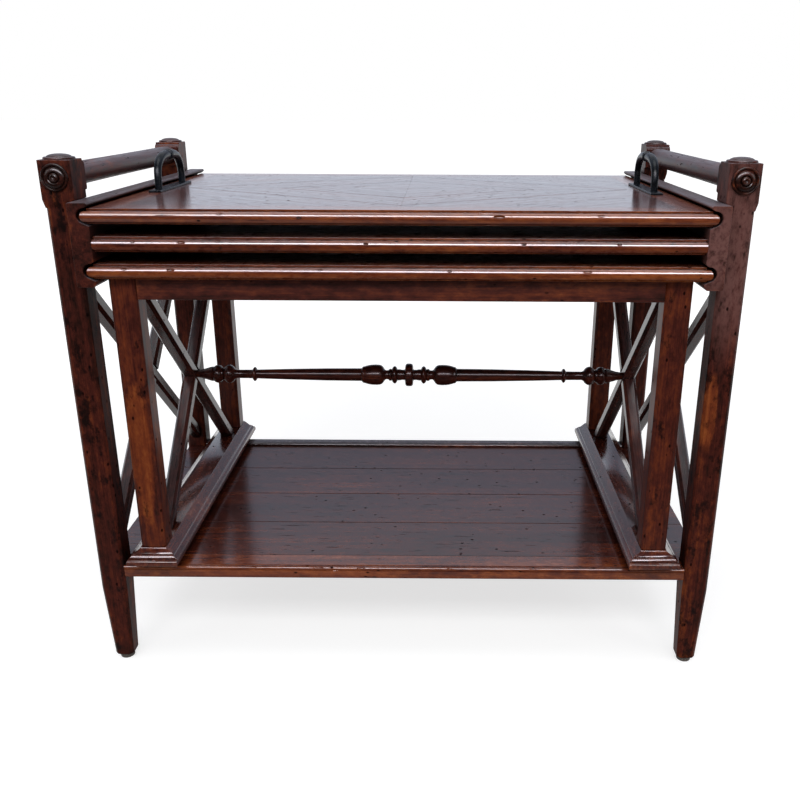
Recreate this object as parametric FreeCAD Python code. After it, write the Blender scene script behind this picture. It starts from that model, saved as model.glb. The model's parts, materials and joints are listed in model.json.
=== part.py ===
import FreeCAD, Part
import math
import os

# Nesting side table: an outer stand with crossed braces and a planked shelf, a tray top that
# slides out of grooved side rails, and an inner table that stands on the shelf under it.
# Millimetres, +Z up, origin on the floor under the middle of the stand. The front looks along -Y.

# Driving dimensions of the outer stand
STAND_WIDTH = 853.0
STAND_DEPTH = 475.0
HEAD_TOP = 704.0
POST_SIZE = 35.0
POST_CHAMFER = 4.0
HEAD_PROUD = 2.0
HEAD_HEIGHT = 46.0
HEAD_NECK = 10.0
BOSS_DEPTH = 5.0
BOSS_TOP_DROP = 3.0
BOSS_TOE = 3.0
BOSS_HEIGHT = 34.5
FOOT_TAPER = 4.5
FOOT_TAPER_TOP = 122.0
FOOT_CHAMFER = 3.0
GLIDE_DIAMETER = 20.0
GLIDE_HEIGHT = 6.0
CAP_DIAMETER = 37.0
CAP_HEIGHT = 6.5
ROSETTE_DIAMETER = 33.0
ROSETTE_DEPTH = 5.5
HAND_RAIL_DIAMETER = 28.5
HAND_RAIL_DROP = 20.0
HAND_RAIL_TENON_DIAMETER = 18.0
HAND_RAIL_TENON = 20.0

# Driving dimensions of the grooved rails and the boards
RAIL_SETBACK = 1.0
RAIL_THICKNESS = 24.0
RAIL_TOP_LIP = 6.2
RAIL_BOTTOM_LIP = 9.6
RAIL_EDGE = 1.5
RAIL_UNDER_BEVEL = 4.0
GROOVE_DEPTH = 14.2
GROOVE_LIP_DEPTH = 4.0
GROOVE_LIP_RISE = 3.0
GROOVE_FLARE_DEGREES = 24.0
BOARD_THICKNESS = 18.0
BOARD_OVERHANG = 23.5
BOARD_ENTRY = 10.0
BOARD_GAP = 15.0
TRAY_DROP = 54.0
MOULDING_INSET = 9.0
TONGUE_THICKNESS = 8.0
TONGUE_LENGTH = 7.0
TONGUE_SETBACK = 30.0

# Driving dimensions of the tray
BORDER_WIDTH = 41.0
SEAM_WIDTH = 1.6
SEAM_DEPTH = 1.0
PLATE_LENGTH = 150.0
PLATE_WIDTH = 17.0
PLATE_THICKNESS = 2.0
PLATE_CORNER = 3.0
PLATE_END_INSET = 22.5
HANDLE_SPAN = 112.0
HANDLE_RISE = 45.0
HANDLE_FOOT_DIAMETER = 8.0
HANDLE_GRIP_DIAMETER = 10.5
HANDLE_COLLAR_DIAMETER = 13.0
HANDLE_COLLAR_WIDTH = 7.0
HANDLE_PIN_DIAMETER = 6.0
HANDLE_PIN_LENGTH = 10.0

# Driving dimensions of the shelf
SHELF_TOP = 157.0
SHELF_THICKNESS = 18.0
SHELF_FRONT_SETBACK = 1.5
SHELF_REAR_SETBACK = 13.5
SHELF_REAR_LIP = 5.0
SHELF_SIDE_SETBACK = 4.5
SHELF_BEAD = 6.0
SHELF_QUIRK = 1.4
SHELF_PLANKS = 4
PLANK_EDGE = 0.9
BEARER_WIDTH = 20.0
BEARER_HEIGHT = 20.0
SHELF_TENON_LENGTH = 10.0
SHELF_TENON_WIDTH = 14.0
SHELF_TENON_HEIGHT = 10.0

# Driving dimensions of the crossed braces
BRACE_SIZE = 20.0
BRACE_CHAMFER = 4.0
OUTER_BRACE_TOP_DROP = 12.0
OUTER_BRACE_LIFT = 29.0
INNER_BRACE_SETBACK = 27.0

# Driving dimensions of the inner table
LEG_SIZE = 34.0
LEG_CHAMFER = 4.0
LEG_TENON_SIZE = 14.0
LEG_TENON_LENGTH = 10.0
APRON_HEIGHT = 29.0
APRON_THICKNESS = 20.0
APRON_SETBACK = 2.0
APRON_TENON_LENGTH = 10.0
APRON_TENON_THICKNESS = 9.0
APRON_TENON_HEIGHT = 18.0
SLED_WIDTH = 70.0
SLED_SETBACK = 4.0
SLED_HEIGHT = 23.0
SLED_INSET = 12.5
SLED_SIDE_INSET = 17.5
SLED_SIDE_GAP = 12.5
PLINTH_HEIGHT = 10.7
PLINTH_INSET = 10.0
PLINTH_FRONT_INSET = 21.0
STRETCHER_CENTRE_DIAMETER = 36.0
STRETCHER_TENON_DIAMETER = 9.0
STRETCHER_TENON = 12.0

# Clearances and overruns
FIT_GAP = 0.15
SLIDE_GAP = 0.4
GROOVE_TOP_GAP = 0.8
STOP_GAP = 1.5
OVERRUN = 5.0

# Edge moulding of the boards: share of the inset, share of the thickness, from the underside up.
# The arc row gives the point that the arc passes through.
BOARD_FOOT_SHARES = ((0.62, 0.0), (0.62, 0.13), (0.35, 0.13))
BOARD_NOSE_SHARES = ((0.0, 0.48), (0.35, 0.83))
BOARD_CAP_SHARES = ((0.75, 0.83), (0.75, 1.0))

# Moulding of the sled ends in the same form: two rounded noses with a ledge over each, and a fillet.
SLED_FACE_SHARES = ((0.09, 0.0), (0.01, 0.06), (0.01, 0.12))
SLED_NOSE_SHARES = ((0.11, 0.3), (0.38, 0.37))
SLED_LEDGE_SHARES = ((0.48, 0.37), (0.48, 0.41))
SLED_BEAD_SHARES = ((0.58, 0.55), (0.84, 0.6))
SLED_TOP_SHARES = ((0.93, 0.6), (0.93, 0.9), (1.0, 0.96), (1.0, 1.0))

# Long sides of the sleds: a low upright face, a rounded turn and one plain slope up to the top.
SLED_SIDE_FACE_SHARES = ((0.05, 0.0), (0.0, 0.04), (0.0, 0.2))
SLED_SIDE_TURN_SHARES = ((0.04, 0.34), (0.16, 0.44))
SLED_SIDE_SLOPE_SHARES = ((0.97, 0.97), (1.0, 1.0))

# Half of the turned stretcher from the end to the middle: share of the half length, share of the
# centre diameter. The turning is in short tapers, and the knop in the middle is an arc.
STRETCHER_HALF_SHARES = (
    (1.0, 0.39), (0.96, 0.44), (0.915, 0.74),
    (0.906, 0.83), (0.889, 0.83), (0.88, 0.74),
    (0.871, 0.62), (0.862, 0.74),
    (0.853, 0.83), (0.835, 0.83), (0.826, 0.72),
    (0.812, 0.46), (0.729, 0.46), (0.72, 0.6), (0.71, 0.48),
    (0.213, 0.6), (0.209, 0.73), (0.165, 0.87), (0.14, 0.84), (0.1, 0.48),
    (0.08, 0.48), (0.066, 0.82), (0.052, 0.48), (0.036, 0.48),
    (0.031, 0.61), (0.023, 0.61), (0.019, 0.97),
)

# Turned cap and rosette: share of the radius, share of the height, from the rim inwards.
CAP_SHARES = ((1.0, 0.0), (1.0, 0.4), (0.9, 0.52), (0.74, 0.56), (0.4, 0.92), (0.0, 1.0))
ROSETTE_SHARES = ((1.0, 0.0), (1.0, 0.34), (0.84, 0.82), (0.62, 0.28), (0.47, 0.66), (0.34, 0.26),
                  (0.2, 0.9), (0.0, 1.0))

# Seams of the tray top: each is a side of a diamond, as a share of the field's half sizes.
DIAMOND_SHARES = (0.55, 0.95)

# How many straight lengths the arch of a handle is forged from, and how far it is squared up:
# one is an ellipse, less is straighter in the legs.
HANDLE_LENGTH_COUNT = 12
HANDLE_ARCH_SHARE = 0.78

# Places worked out from the driving dimensions
post_x = (STAND_WIDTH - POST_SIZE) / 2
post_y = (STAND_DEPTH - POST_SIZE) / 2
post_inner_x = STAND_WIDTH / 2 - POST_SIZE
post_inner_y = STAND_DEPTH / 2 - POST_SIZE
head_size = POST_SIZE + 2 * HEAD_PROUD
head_bottom = HEAD_TOP - HEAD_HEIGHT
boss_face = POST_SIZE / 2 + HEAD_PROUD + BOSS_DEPTH
hand_rail_z = HEAD_TOP - HAND_RAIL_DROP

rail_inner_x = post_inner_x - RAIL_THICKNESS
tray_top = HEAD_TOP - TRAY_DROP
tray_bottom = tray_top - BOARD_THICKNESS
middle_bottom = tray_bottom - BOARD_GAP - BOARD_THICKNESS
inner_top_bottom = middle_bottom - BOARD_GAP - BOARD_THICKNESS
rail_top = tray_top + GROOVE_TOP_GAP + RAIL_TOP_LIP
rail_bottom = inner_top_bottom - SLIDE_GAP - RAIL_BOTTOM_LIP
sliding_half_x = rail_inner_x + BOARD_ENTRY
board_half_y = STAND_DEPTH / 2 + BOARD_OVERHANG
rail_half_y = board_half_y - RAIL_SETBACK
sled_half_y = board_half_y - SLED_SETBACK
field_half_x = sliding_half_x - BORDER_WIDTH
field_half_y = board_half_y - BORDER_WIDTH
plate_x = sliding_half_x - PLATE_END_INSET - PLATE_WIDTH / 2

shelf_bottom = SHELF_TOP - SHELF_THICKNESS
sled_outer_x = post_inner_x - SLED_SIDE_GAP
leg_x = sled_outer_x - SLED_WIDTH / 2
leg_outer_y = sled_half_y - SLED_INSET - LEG_CHAMFER / 2
leg_y = leg_outer_y - LEG_SIZE / 2
leg_inner_y = leg_outer_y - LEG_SIZE
leg_inner_x = leg_x - LEG_SIZE / 2
plinth_bottom = SHELF_TOP + SLIDE_GAP
sled_bottom = plinth_bottom + PLINTH_HEIGHT
sled_top = sled_bottom + SLED_HEIGHT
apron_bottom = inner_top_bottom - APRON_HEIGHT
inner_crossing_z = (apron_bottom + sled_top) / 2
outer_brace_top = rail_bottom - OUTER_BRACE_TOP_DROP
outer_brace_bottom = SHELF_TOP + OUTER_BRACE_LIFT

ORIGIN = FreeCAD.Vector(0, 0, 0)
ALONG_X = FreeCAD.Vector(1, 0, 0)
ALONG_Y = FreeCAD.Vector(0, 1, 0)
ALONG_Z = FreeCAD.Vector(0, 0, 1)


def box(x_range, y_range, z_range):
    """A box between two places on each axis."""
    size = [high - low for low, high in (x_range, y_range, z_range)]
    corner = FreeCAD.Vector(x_range[0], y_range[0], z_range[0])
    return Part.makeBox(size[0], size[1], size[2], corner)


def around(middle, size):
    """The range of a size about its middle."""
    return middle - size / 2, middle + size / 2


def mirrored(shape, axis):
    """The same piece on the other side of the table."""
    return shape.mirror(ORIGIN, axis)


def straight(start, end):
    return Part.LineSegment(start, end)


def taper(start, end):
    """A straight run of a turned outline, kept as a two-point curve so that its face stays one long strip."""
    curve = Part.BezierCurve()
    curve.setPoles([start, end])
    return curve


def path_wire(start, steps, place, run=straight):
    """A closed wire from a start point and steps; a step of two points is an arc through the first."""
    edges = []
    here = start
    for step in steps:
        end = step[-1]
        points = [place(*point) for point in [here] + list(step)]
        if len(step) == 2:
            curve = Part.Arc(*points)
        elif here[0] == end[0] or here[1] == end[1]:
            curve = straight(*points)
        else:
            curve = run(*points)
        edges.append(curve.toShape())
        here = end
    edges.append(straight(place(*here), place(*start)).toShape())
    return Part.Wire(edges)


def in_xz(a, b):
    return FreeCAD.Vector(a, 0, b)


def in_yz(a, b):
    return FreeCAD.Vector(0, a, b)


def turned(start, steps, place, axis, run=straight):
    """A solid of revolution about an axis through the origin."""
    return Part.Face(path_wire(start, steps, place, run)).revolve(ORIGIN, axis, 360)


def octagon(size, chamfer, z):
    """The outline of a square section with chamfered corners, about the Z axis."""
    half = size / 2
    flat = half - chamfer
    corners = [(half, -flat), (half, flat), (flat, half), (-flat, half),
               (-half, flat), (-half, -flat), (-flat, -half), (flat, -half)]
    points = [FreeCAD.Vector(x, y, z) for x, y in corners]
    return Part.makePolygon(points + points[:1])


def chamfered_post(size, chamfer, low, high):
    """An upright square bar with chamfered edges."""
    return Part.Face(octagon(size, chamfer, low)).extrude(ALONG_Z * (high - low))


def moulding_steps(half, bottom, height, inset, rows, sign):
    """The moulded edge of one side as path steps, from the underside up."""
    steps = []
    for row in rows:
        steps.append([(sign * (half - i * inset), bottom + h * height) for i, h in row])
    return steps


def moulded_profile(half, bottom, height, inset, rows, place):
    """The section of a board or base with the same moulding on both edges."""
    right = moulding_steps(half, bottom, height, inset, rows, 1)
    left = moulding_steps(half, bottom, height, inset, rows, -1)
    steps = right[1:]
    steps.append([left[-1][-1]])
    for index in range(len(left) - 1, 0, -1):
        middle = left[index][:-1]
        steps.append(middle + [left[index - 1][-1]])
    return Part.Face(path_wire(right[0][-1], steps, place))


def moulded_block(half_x, half_y, bottom, height, sides, ends):
    """A block moulded on its sides and ends, with mitred corners; each edge is an inset and its rows."""
    along_y = moulded_profile(half_x, bottom, height, *sides, in_xz)
    along_y.translate(ALONG_Y * -(half_y + OVERRUN))
    along_x = moulded_profile(half_y, bottom, height, *ends, in_yz)
    along_x.translate(ALONG_X * -(half_x + OVERRUN))
    across = along_y.extrude(ALONG_Y * 2 * (half_y + OVERRUN))
    return across.common(along_x.extrude(ALONG_X * 2 * (half_x + OVERRUN)))


BOARD_ROWS = ([[point] for point in BOARD_FOOT_SHARES] + [BOARD_NOSE_SHARES]
              + [[point] for point in BOARD_CAP_SHARES])
SLED_ROWS = ([[point] for point in SLED_FACE_SHARES] + [SLED_NOSE_SHARES]
             + [[point] for point in SLED_LEDGE_SHARES] + [SLED_BEAD_SHARES]
             + [[point] for point in SLED_TOP_SHARES])
SLED_SIDE_ROWS = ([[point] for point in SLED_SIDE_FACE_SHARES] + [SLED_SIDE_TURN_SHARES]
                  + [[point] for point in SLED_SIDE_SLOPE_SHARES])


def moulded_board(half_x, bottom):
    """A table board with the nosed edge all round."""
    edge = (MOULDING_INSET, BOARD_ROWS)
    return moulded_block(half_x, board_half_y, bottom, BOARD_THICKNESS, edge, edge)


# Outer stand

def post_boss():
    """The swelling of the head towards the hand rail, rounded above and below."""
    near = POST_SIZE / 2
    low = HEAD_TOP - BOSS_TOP_DROP - BOSS_HEIGHT
    high = HEAD_TOP - BOSS_TOP_DROP
    shoulder = high - BOSS_DEPTH
    bend = BOSS_DEPTH * (1 - math.sqrt(0.5))
    toe_bend = BOSS_TOE * (1 - math.sqrt(0.5))
    steps = [[(boss_face - BOSS_TOE, low)],
             [(boss_face - toe_bend, low + toe_bend), (boss_face, low + BOSS_TOE)], [(boss_face, shoulder)],
             [(boss_face - bend, high - bend), (boss_face - BOSS_DEPTH, high)], [(near, high)]]
    face = Part.Face(path_wire((near, low), steps, in_yz))
    face.translate(ALONG_X * (-head_size / 2))
    return face.extrude(ALONG_X * head_size)


def shelf_tenon(rail_y, gap):
    """The tenon at the left end of a shelf rail that lies at a distance from the middle."""
    depth = SHELF_TENON_LENGTH + gap
    height = SHELF_TENON_HEIGHT + 2 * gap
    width = SHELF_TENON_WIDTH + 2 * gap
    return box((-post_inner_x - depth, -post_inner_x), around(rail_y, width),
               around(SHELF_TOP - SHELF_THICKNESS / 2, height))


def left_post(shelf_rail_y):
    """The front left post, or the rear left one before it is mirrored."""
    foot_bottom = GLIDE_HEIGHT
    foot_size = POST_SIZE - 2 * FOOT_TAPER
    sole_size = foot_size - 2 * FOOT_CHAMFER
    neck_bottom = head_bottom - HEAD_NECK
    foot = Part.makeLoft([octagon(POST_SIZE, POST_CHAMFER, FOOT_TAPER_TOP),
                          octagon(foot_size, POST_CHAMFER, foot_bottom + FOOT_CHAMFER)], True, True)
    sole = Part.makeLoft([octagon(foot_size, POST_CHAMFER, foot_bottom + FOOT_CHAMFER),
                          octagon(sole_size, POST_CHAMFER, foot_bottom)], True, True)
    shaft = chamfered_post(POST_SIZE, POST_CHAMFER, FOOT_TAPER_TOP, neck_bottom)
    neck = Part.makeLoft([octagon(POST_SIZE, POST_CHAMFER / 4, neck_bottom),
                          octagon(head_size, POST_CHAMFER / 4, head_bottom)], True, True)
    head = chamfered_post(head_size, POST_CHAMFER / 4, head_bottom, HEAD_TOP)
    post = shaft.multiFuse([foot, sole, neck, head, post_boss()]).removeSplitter()
    socket_depth = HAND_RAIL_TENON + FIT_GAP
    socket = Part.makeCylinder(HAND_RAIL_TENON_DIAMETER / 2 + FIT_GAP, socket_depth,
                               FreeCAD.Vector(0, boss_face - socket_depth, hand_rail_z), ALONG_Y)
    post = post.cut(socket)
    post.translate(FreeCAD.Vector(-post_x, -post_y, 0))
    rail_seat = box((-post_inner_x, -rail_inner_x), (-STAND_DEPTH, 0), (rail_bottom, rail_top))
    return post.cut(rail_seat).cut(shelf_tenon(shelf_rail_y, FIT_GAP))


def at_four_posts(shape):
    """Copies of one small piece made for the front left post, for all four posts."""
    right = mirrored(shape, ALONG_X)
    return [shape, right, mirrored(shape, ALONG_Y), mirrored(right, ALONG_Y)]


def turned_button(shares, diameter, height):
    """A small turned piece standing on the floor plane."""
    steps = [[(r * diameter / 2, h * height)] for r, h in shares]
    return turned((0, 0), steps, in_xz, ALONG_Z)


def post_caps():
    cap = turned_button(CAP_SHARES, CAP_DIAMETER, CAP_HEIGHT)
    cap.translate(FreeCAD.Vector(-post_x, -post_y, HEAD_TOP))
    return Part.Compound(at_four_posts(cap))


def post_rosettes():
    rosette = turned_button(ROSETTE_SHARES, ROSETTE_DIAMETER, ROSETTE_DEPTH)
    rosette.rotate(ORIGIN, ALONG_X, 90)
    rosette.translate(FreeCAD.Vector(-post_x, -STAND_DEPTH / 2 - HEAD_PROUD, hand_rail_z))
    return Part.Compound(at_four_posts(rosette))


def foot_glides():
    glide = Part.makeCylinder(GLIDE_DIAMETER / 2, GLIDE_HEIGHT, FreeCAD.Vector(-post_x, -post_y, 0))
    return Part.Compound(at_four_posts(glide))


def left_hand_rail():
    half = post_y - boss_face
    middle = FreeCAD.Vector(-post_x, -half, hand_rail_z)
    rail = Part.makeCylinder(HAND_RAIL_DIAMETER / 2, 2 * half, middle, ALONG_Y)
    start = middle - ALONG_Y * HAND_RAIL_TENON
    tenons = Part.makeCylinder(HAND_RAIL_TENON_DIAMETER / 2, 2 * (half + HAND_RAIL_TENON), start, ALONG_Y)
    return rail.fuse(tenons)


def groove_steps(top, bottom):
    """One groove of the right rail, from its upper lip to its lower lip: round at the back, flared below.

    The flare passes under the lower corner of the sliding board, which rests there.
    """
    face = rail_inner_x
    flare = math.radians(GROOVE_FLARE_DEGREES)
    slope = math.tan(flare)
    rest = BOARD_ENTRY - BOARD_FOOT_SHARES[0][0] * MOULDING_INSET
    height = top - bottom - slope * (GROOVE_DEPTH - rest)
    radius = height / (1 / math.cos(flare) + 1 - slope)
    turn_x = face + GROOVE_DEPTH - radius
    turn_z = top - radius
    back = (turn_x + radius * math.cos(flare / 2), turn_z + radius * math.sin(flare / 2))
    return [[(face, top + GROOVE_LIP_RISE)],
            [(face + GROOVE_LIP_DEPTH, top)],
            [(turn_x, top)],
            [back, (turn_x + radius * math.sin(flare), turn_z - radius * math.cos(flare))],
            [(face, bottom - slope * rest)]]


def middle_board_tongue(gap):
    """The tongue at the right end of the middle board."""
    height = TONGUE_THICKNESS + 2 * gap
    half_y = board_half_y - TONGUE_SETBACK + gap
    return box((rail_inner_x, rail_inner_x + TONGUE_LENGTH + gap), (-half_y, half_y),
               around(middle_bottom + BOARD_THICKNESS / 2, height))


def right_grooved_rail():
    """The plank on the inner faces of the right posts, with a groove for each sliding board."""
    outer = post_inner_x
    inner = rail_inner_x
    steps = [[(outer, rail_top - RAIL_EDGE)], [(outer - RAIL_EDGE, rail_top)],
             [(inner + RAIL_EDGE, rail_top)], [(inner, rail_top - RAIL_EDGE)]]
    steps += groove_steps(tray_top + GROOVE_TOP_GAP, tray_bottom - SLIDE_GAP)
    steps += groove_steps(inner_top_bottom + BOARD_THICKNESS + GROOVE_TOP_GAP, inner_top_bottom - SLIDE_GAP)
    steps += [[(inner, rail_bottom + RAIL_UNDER_BEVEL)], [(inner + RAIL_UNDER_BEVEL, rail_bottom)],
              [(outer - RAIL_EDGE, rail_bottom)]]
    face = Part.Face(path_wire((outer, rail_bottom + RAIL_EDGE), steps, in_xz))
    face.translate(ALONG_Y * -rail_half_y)
    rail = face.extrude(ALONG_Y * 2 * rail_half_y)
    return rail.cut(middle_board_tongue(FIT_GAP))


def middle_board():
    """The fixed board: nosed at the front and rear, tongued into the ribs at its ends."""
    face = moulded_profile(board_half_y, middle_bottom, BOARD_THICKNESS, MOULDING_INSET, BOARD_ROWS, in_yz)
    face.translate(ALONG_X * -rail_inner_x)
    board = face.extrude(ALONG_X * 2 * rail_inner_x)
    tongue = middle_board_tongue(0)
    return board.multiFuse([tongue, mirrored(tongue, ALONG_X)])


# Shelf

def bead_steps(front, top):
    """A rounded edge with a quirk behind it, along the top of a shelf rail's front."""
    radius = SHELF_BEAD / 2
    bend = radius * (1 - math.sqrt(0.5))
    quirk = front + SHELF_BEAD
    return [[(front, top - radius)],
            [(front + bend, top - bend), (front + radius, top)],
            [(quirk - SHELF_QUIRK, top)],
            [(quirk, top - SHELF_QUIRK)],
            [(quirk + SHELF_QUIRK, top)]]


def shelf_rail(front, back, top):
    """A rail of the shelf between two posts, with a tenon at each end."""
    steps = bead_steps(front, top) + [[(back, top)], [(back, shelf_bottom)]]
    face = Part.Face(path_wire((front, shelf_bottom), steps, in_yz))
    face.translate(ALONG_X * -post_inner_x)
    rail = face.extrude(ALONG_X * 2 * post_inner_x)
    tenon = shelf_tenon((front + back) / 2, 0)
    return rail.multiFuse([tenon, mirrored(tenon, ALONG_X)])


def shelf_plank(index):
    """One plank of the shelf with eased top edges along its seams."""
    width = 2 * post_inner_y / SHELF_PLANKS
    low = -post_inner_y + index * width
    high = low + width
    steps = [[(high, shelf_bottom)], [(high, SHELF_TOP - PLANK_EDGE)], [(high - PLANK_EDGE, SHELF_TOP)],
             [(low + PLANK_EDGE, SHELF_TOP)], [(low, SHELF_TOP - PLANK_EDGE)]]
    half_x = STAND_WIDTH / 2 - SHELF_SIDE_SETBACK
    face = Part.Face(path_wire((low, shelf_bottom), steps, in_yz))
    face.translate(ALONG_X * -half_x)
    return face.extrude(ALONG_X * 2 * half_x)


def left_shelf_bearer():
    """The cleat under the plank ends, from post to post."""
    return box(around(-post_x, BEARER_WIDTH), (-post_inner_y, post_inner_y),
               (shelf_bottom - BEARER_HEIGHT, shelf_bottom))


# Crossed braces

def slanted_bar(x_range, size, rise, run, middle_z, chamfer):
    """A bar that climbs towards the rear, centred on the side's middle, longer than it needs to be."""
    length = math.hypot(rise, run) + 4 * size
    bar = chamfered_post(size, chamfer, -length / 2, length / 2)
    keep = box((x_range[0] - (x_range[0] + x_range[1]) / 2, x_range[1] - (x_range[0] + x_range[1]) / 2),
               (-size, size), (-length, length))
    bar = bar.common(keep)
    bar.rotate(ORIGIN, ALONG_X, -math.degrees(math.atan2(run, rise)))
    bar.translate(FreeCAD.Vector((x_range[0] + x_range[1]) / 2, 0, middle_z))
    return bar


def crossed_pair(middle_x, rise, run, middle_z, room):
    """Two bars half-lapped where they cross, each trimmed to the room between its neighbours."""
    whole = around(middle_x, BRACE_SIZE)
    inner_half = (middle_x, whole[1])
    outer_half = (whole[0], middle_x)
    rising = slanted_bar(whole, BRACE_SIZE, rise, run, middle_z, BRACE_CHAMFER)
    falling = mirrored(rising, ALONG_Y)
    lap_in_falling = slanted_bar(outer_half, BRACE_SIZE, rise, run, middle_z, 0)
    lap_in_rising = mirrored(slanted_bar(inner_half, BRACE_SIZE, rise, run, middle_z, 0), ALONG_Y)
    return rising.cut(lap_in_rising).common(room), falling.cut(lap_in_falling).common(room)


def left_outer_braces():
    """The crossed bars between the front and rear posts of the left side."""
    rise = outer_brace_top - outer_brace_bottom
    middle_z = (outer_brace_top + outer_brace_bottom) / 2
    room = box(around(-post_x, 2 * BRACE_SIZE), (-post_inner_y, post_inner_y), (SHELF_TOP, rail_top))
    return crossed_pair(-post_x, rise, 2 * post_inner_y, middle_z, room)


def left_inner_braces():
    """The crossed bars between the legs of the inner table's left side, bored for the stretcher."""
    rise = apron_bottom - sled_top
    run = 2 * (leg_inner_y - INNER_BRACE_SETBACK)
    room = box(around(-leg_x, 2 * BRACE_SIZE), (-leg_inner_y, leg_inner_y), (sled_top, apron_bottom))
    face_x = -leg_x + BRACE_SIZE / 2
    bore = Part.makeCylinder(STRETCHER_TENON_DIAMETER / 2 + FIT_GAP, STRETCHER_TENON + FIT_GAP,
                             FreeCAD.Vector(face_x, 0, inner_crossing_z), -ALONG_X)
    return [bar.cut(bore) for bar in crossed_pair(-leg_x, rise, run, inner_crossing_z, room)]


# Tray top

def mitred_border(slab, long_side):
    """A border strip of the tray with mitred ends: the front one, or the left one."""
    reach_x = sliding_half_x + OVERRUN
    reach_y = board_half_y + OVERRUN
    if long_side:
        corners = [(-reach_x, -reach_y), (reach_x, -reach_y), (field_half_x, -field_half_y),
                   (-field_half_x, -field_half_y)]
    else:
        corners = [(-reach_x, -reach_y), (-field_half_x, -field_half_y), (-field_half_x, field_half_y),
                   (-reach_x, reach_y)]
    points = [FreeCAD.Vector(x, y, tray_bottom - OVERRUN) for x, y in corners]
    face = Part.Face(Part.makePolygon(points + points[:1]))
    return slab.common(face.extrude(ALONG_Z * (BOARD_THICKNESS + 2 * OVERRUN)))


def seam_cutter(end_x, end_y):
    """A small V along one side of a diamond, from the middle of the field's end to that of its side."""
    direction = FreeCAD.Vector(end_x, -end_y, 0)
    length = direction.Length + 2 * OVERRUN
    half = SEAM_WIDTH / 2
    points = [in_yz(-half, 0), in_yz(half, 0), in_yz(0, -SEAM_DEPTH)]
    cutter = Part.Face(Part.makePolygon(points + points[:1])).extrude(ALONG_X * length)
    cutter.translate(ALONG_X * -OVERRUN)
    cutter.rotate(ORIGIN, ALONG_Z, math.degrees(math.atan2(-end_y, end_x)))
    cutter.translate(FreeCAD.Vector(0, end_y, tray_top))
    return cutter


def rear_right_panel():
    """A quarter of the tray's field, with the diagonal seams of its boards."""
    panel = box((0, field_half_x), (0, field_half_y), (tray_bottom, tray_top))
    for share in DIAMOND_SHARES:
        panel = panel.cut(seam_cutter(share * field_half_x, share * field_half_y))
    return panel


def handle_pin(end, gap):
    """The riveted pin under one foot of the left handle."""
    radius = HANDLE_PIN_DIAMETER / 2 + gap
    depth = HANDLE_PIN_LENGTH + gap
    foot_z = tray_top + PLATE_THICKNESS
    return Part.makeCylinder(radius, depth, FreeCAD.Vector(-plate_x, end * HANDLE_SPAN / 2, foot_z), -ALONG_Z)


def bored_for_handle(shape):
    for end in (-1, 1):
        shape = shape.cut(handle_pin(end, FIT_GAP))
    return shape


def left_handle_plate():
    plate = box(around(-plate_x, PLATE_WIDTH), around(0, PLATE_LENGTH), (tray_top, tray_top + PLATE_THICKNESS))
    uprights = [edge for edge in plate.Edges if edge.BoundBox.ZLength > PLATE_THICKNESS / 2]
    return bored_for_handle(plate.makeFillet(PLATE_CORNER, uprights))


def handle_arch_point(index):
    """A point on the middle line of the left handle's arch, from its rear foot to its front foot."""
    turn = math.pi * index / HANDLE_LENGTH_COUNT
    across = math.copysign(abs(math.cos(turn)) ** HANDLE_ARCH_SHARE, math.cos(turn))
    up = abs(math.sin(turn)) ** HANDLE_ARCH_SHARE
    if index == HANDLE_LENGTH_COUNT:
        up = 0
    return FreeCAD.Vector(-plate_x, across * HANDLE_SPAN / 2, tray_top + PLATE_THICKNESS + up * HANDLE_RISE)


def left_handle():
    """A forged arch, thicker at the grip, with a collar at the top and a pin under each foot."""
    rings = []
    for index in range(HANDLE_LENGTH_COUNT + 1):
        along = handle_arch_point(min(index + 1, HANDLE_LENGTH_COUNT)) - handle_arch_point(max(index - 1, 0))
        if index in (0, HANDLE_LENGTH_COUNT):
            along = ALONG_Z
        swell = math.sin(math.pi * index / HANDLE_LENGTH_COUNT) ** 2
        diameter = HANDLE_FOOT_DIAMETER + (HANDLE_GRIP_DIAMETER - HANDLE_FOOT_DIAMETER) * swell
        rings.append(Part.Wire(Part.makeCircle(diameter / 2, handle_arch_point(index), along)))
    arch = Part.makeLoft(rings, True, True)
    collar_start = handle_arch_point(HANDLE_LENGTH_COUNT / 2) - ALONG_Y * (HANDLE_COLLAR_WIDTH / 2)
    collar = Part.makeCylinder(HANDLE_COLLAR_DIAMETER / 2, HANDLE_COLLAR_WIDTH, collar_start, ALONG_Y)
    return arch.multiFuse([collar, handle_pin(-1, 0), handle_pin(1, 0)])


# Inner table

def apron_tenon(front_left):
    """The tenon of an apron in the front left leg: of the front apron, or of the left one."""
    middle_z = inner_top_bottom - APRON_HEIGHT / 2
    front_y = -leg_outer_y + APRON_SETBACK + APRON_THICKNESS / 2
    if front_left:
        x_range = (-leg_inner_x - APRON_TENON_LENGTH, -leg_inner_x)
        y_range = around(front_y, APRON_TENON_THICKNESS)
    else:
        x_range = around(-leg_x, APRON_TENON_THICKNESS)
        y_range = (-leg_inner_y - APRON_TENON_LENGTH, -leg_inner_y)
    return x_range, y_range, around(middle_z, APRON_TENON_HEIGHT)


def grown(ranges, gap):
    return [(low - gap, high + gap) for low, high in ranges]


def front_apron():
    y_range = around(-leg_outer_y + APRON_SETBACK + APRON_THICKNESS / 2, APRON_THICKNESS)
    apron = box((-leg_inner_x, leg_inner_x), y_range, (apron_bottom, inner_top_bottom))
    tenon = box(*apron_tenon(True))
    return apron.multiFuse([tenon, mirrored(tenon, ALONG_X)])


def left_apron():
    apron = box(around(-leg_x, APRON_THICKNESS), (-leg_inner_y, leg_inner_y), (apron_bottom, inner_top_bottom))
    tenon = box(*apron_tenon(False))
    return apron.multiFuse([tenon, mirrored(tenon, ALONG_Y)])


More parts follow.
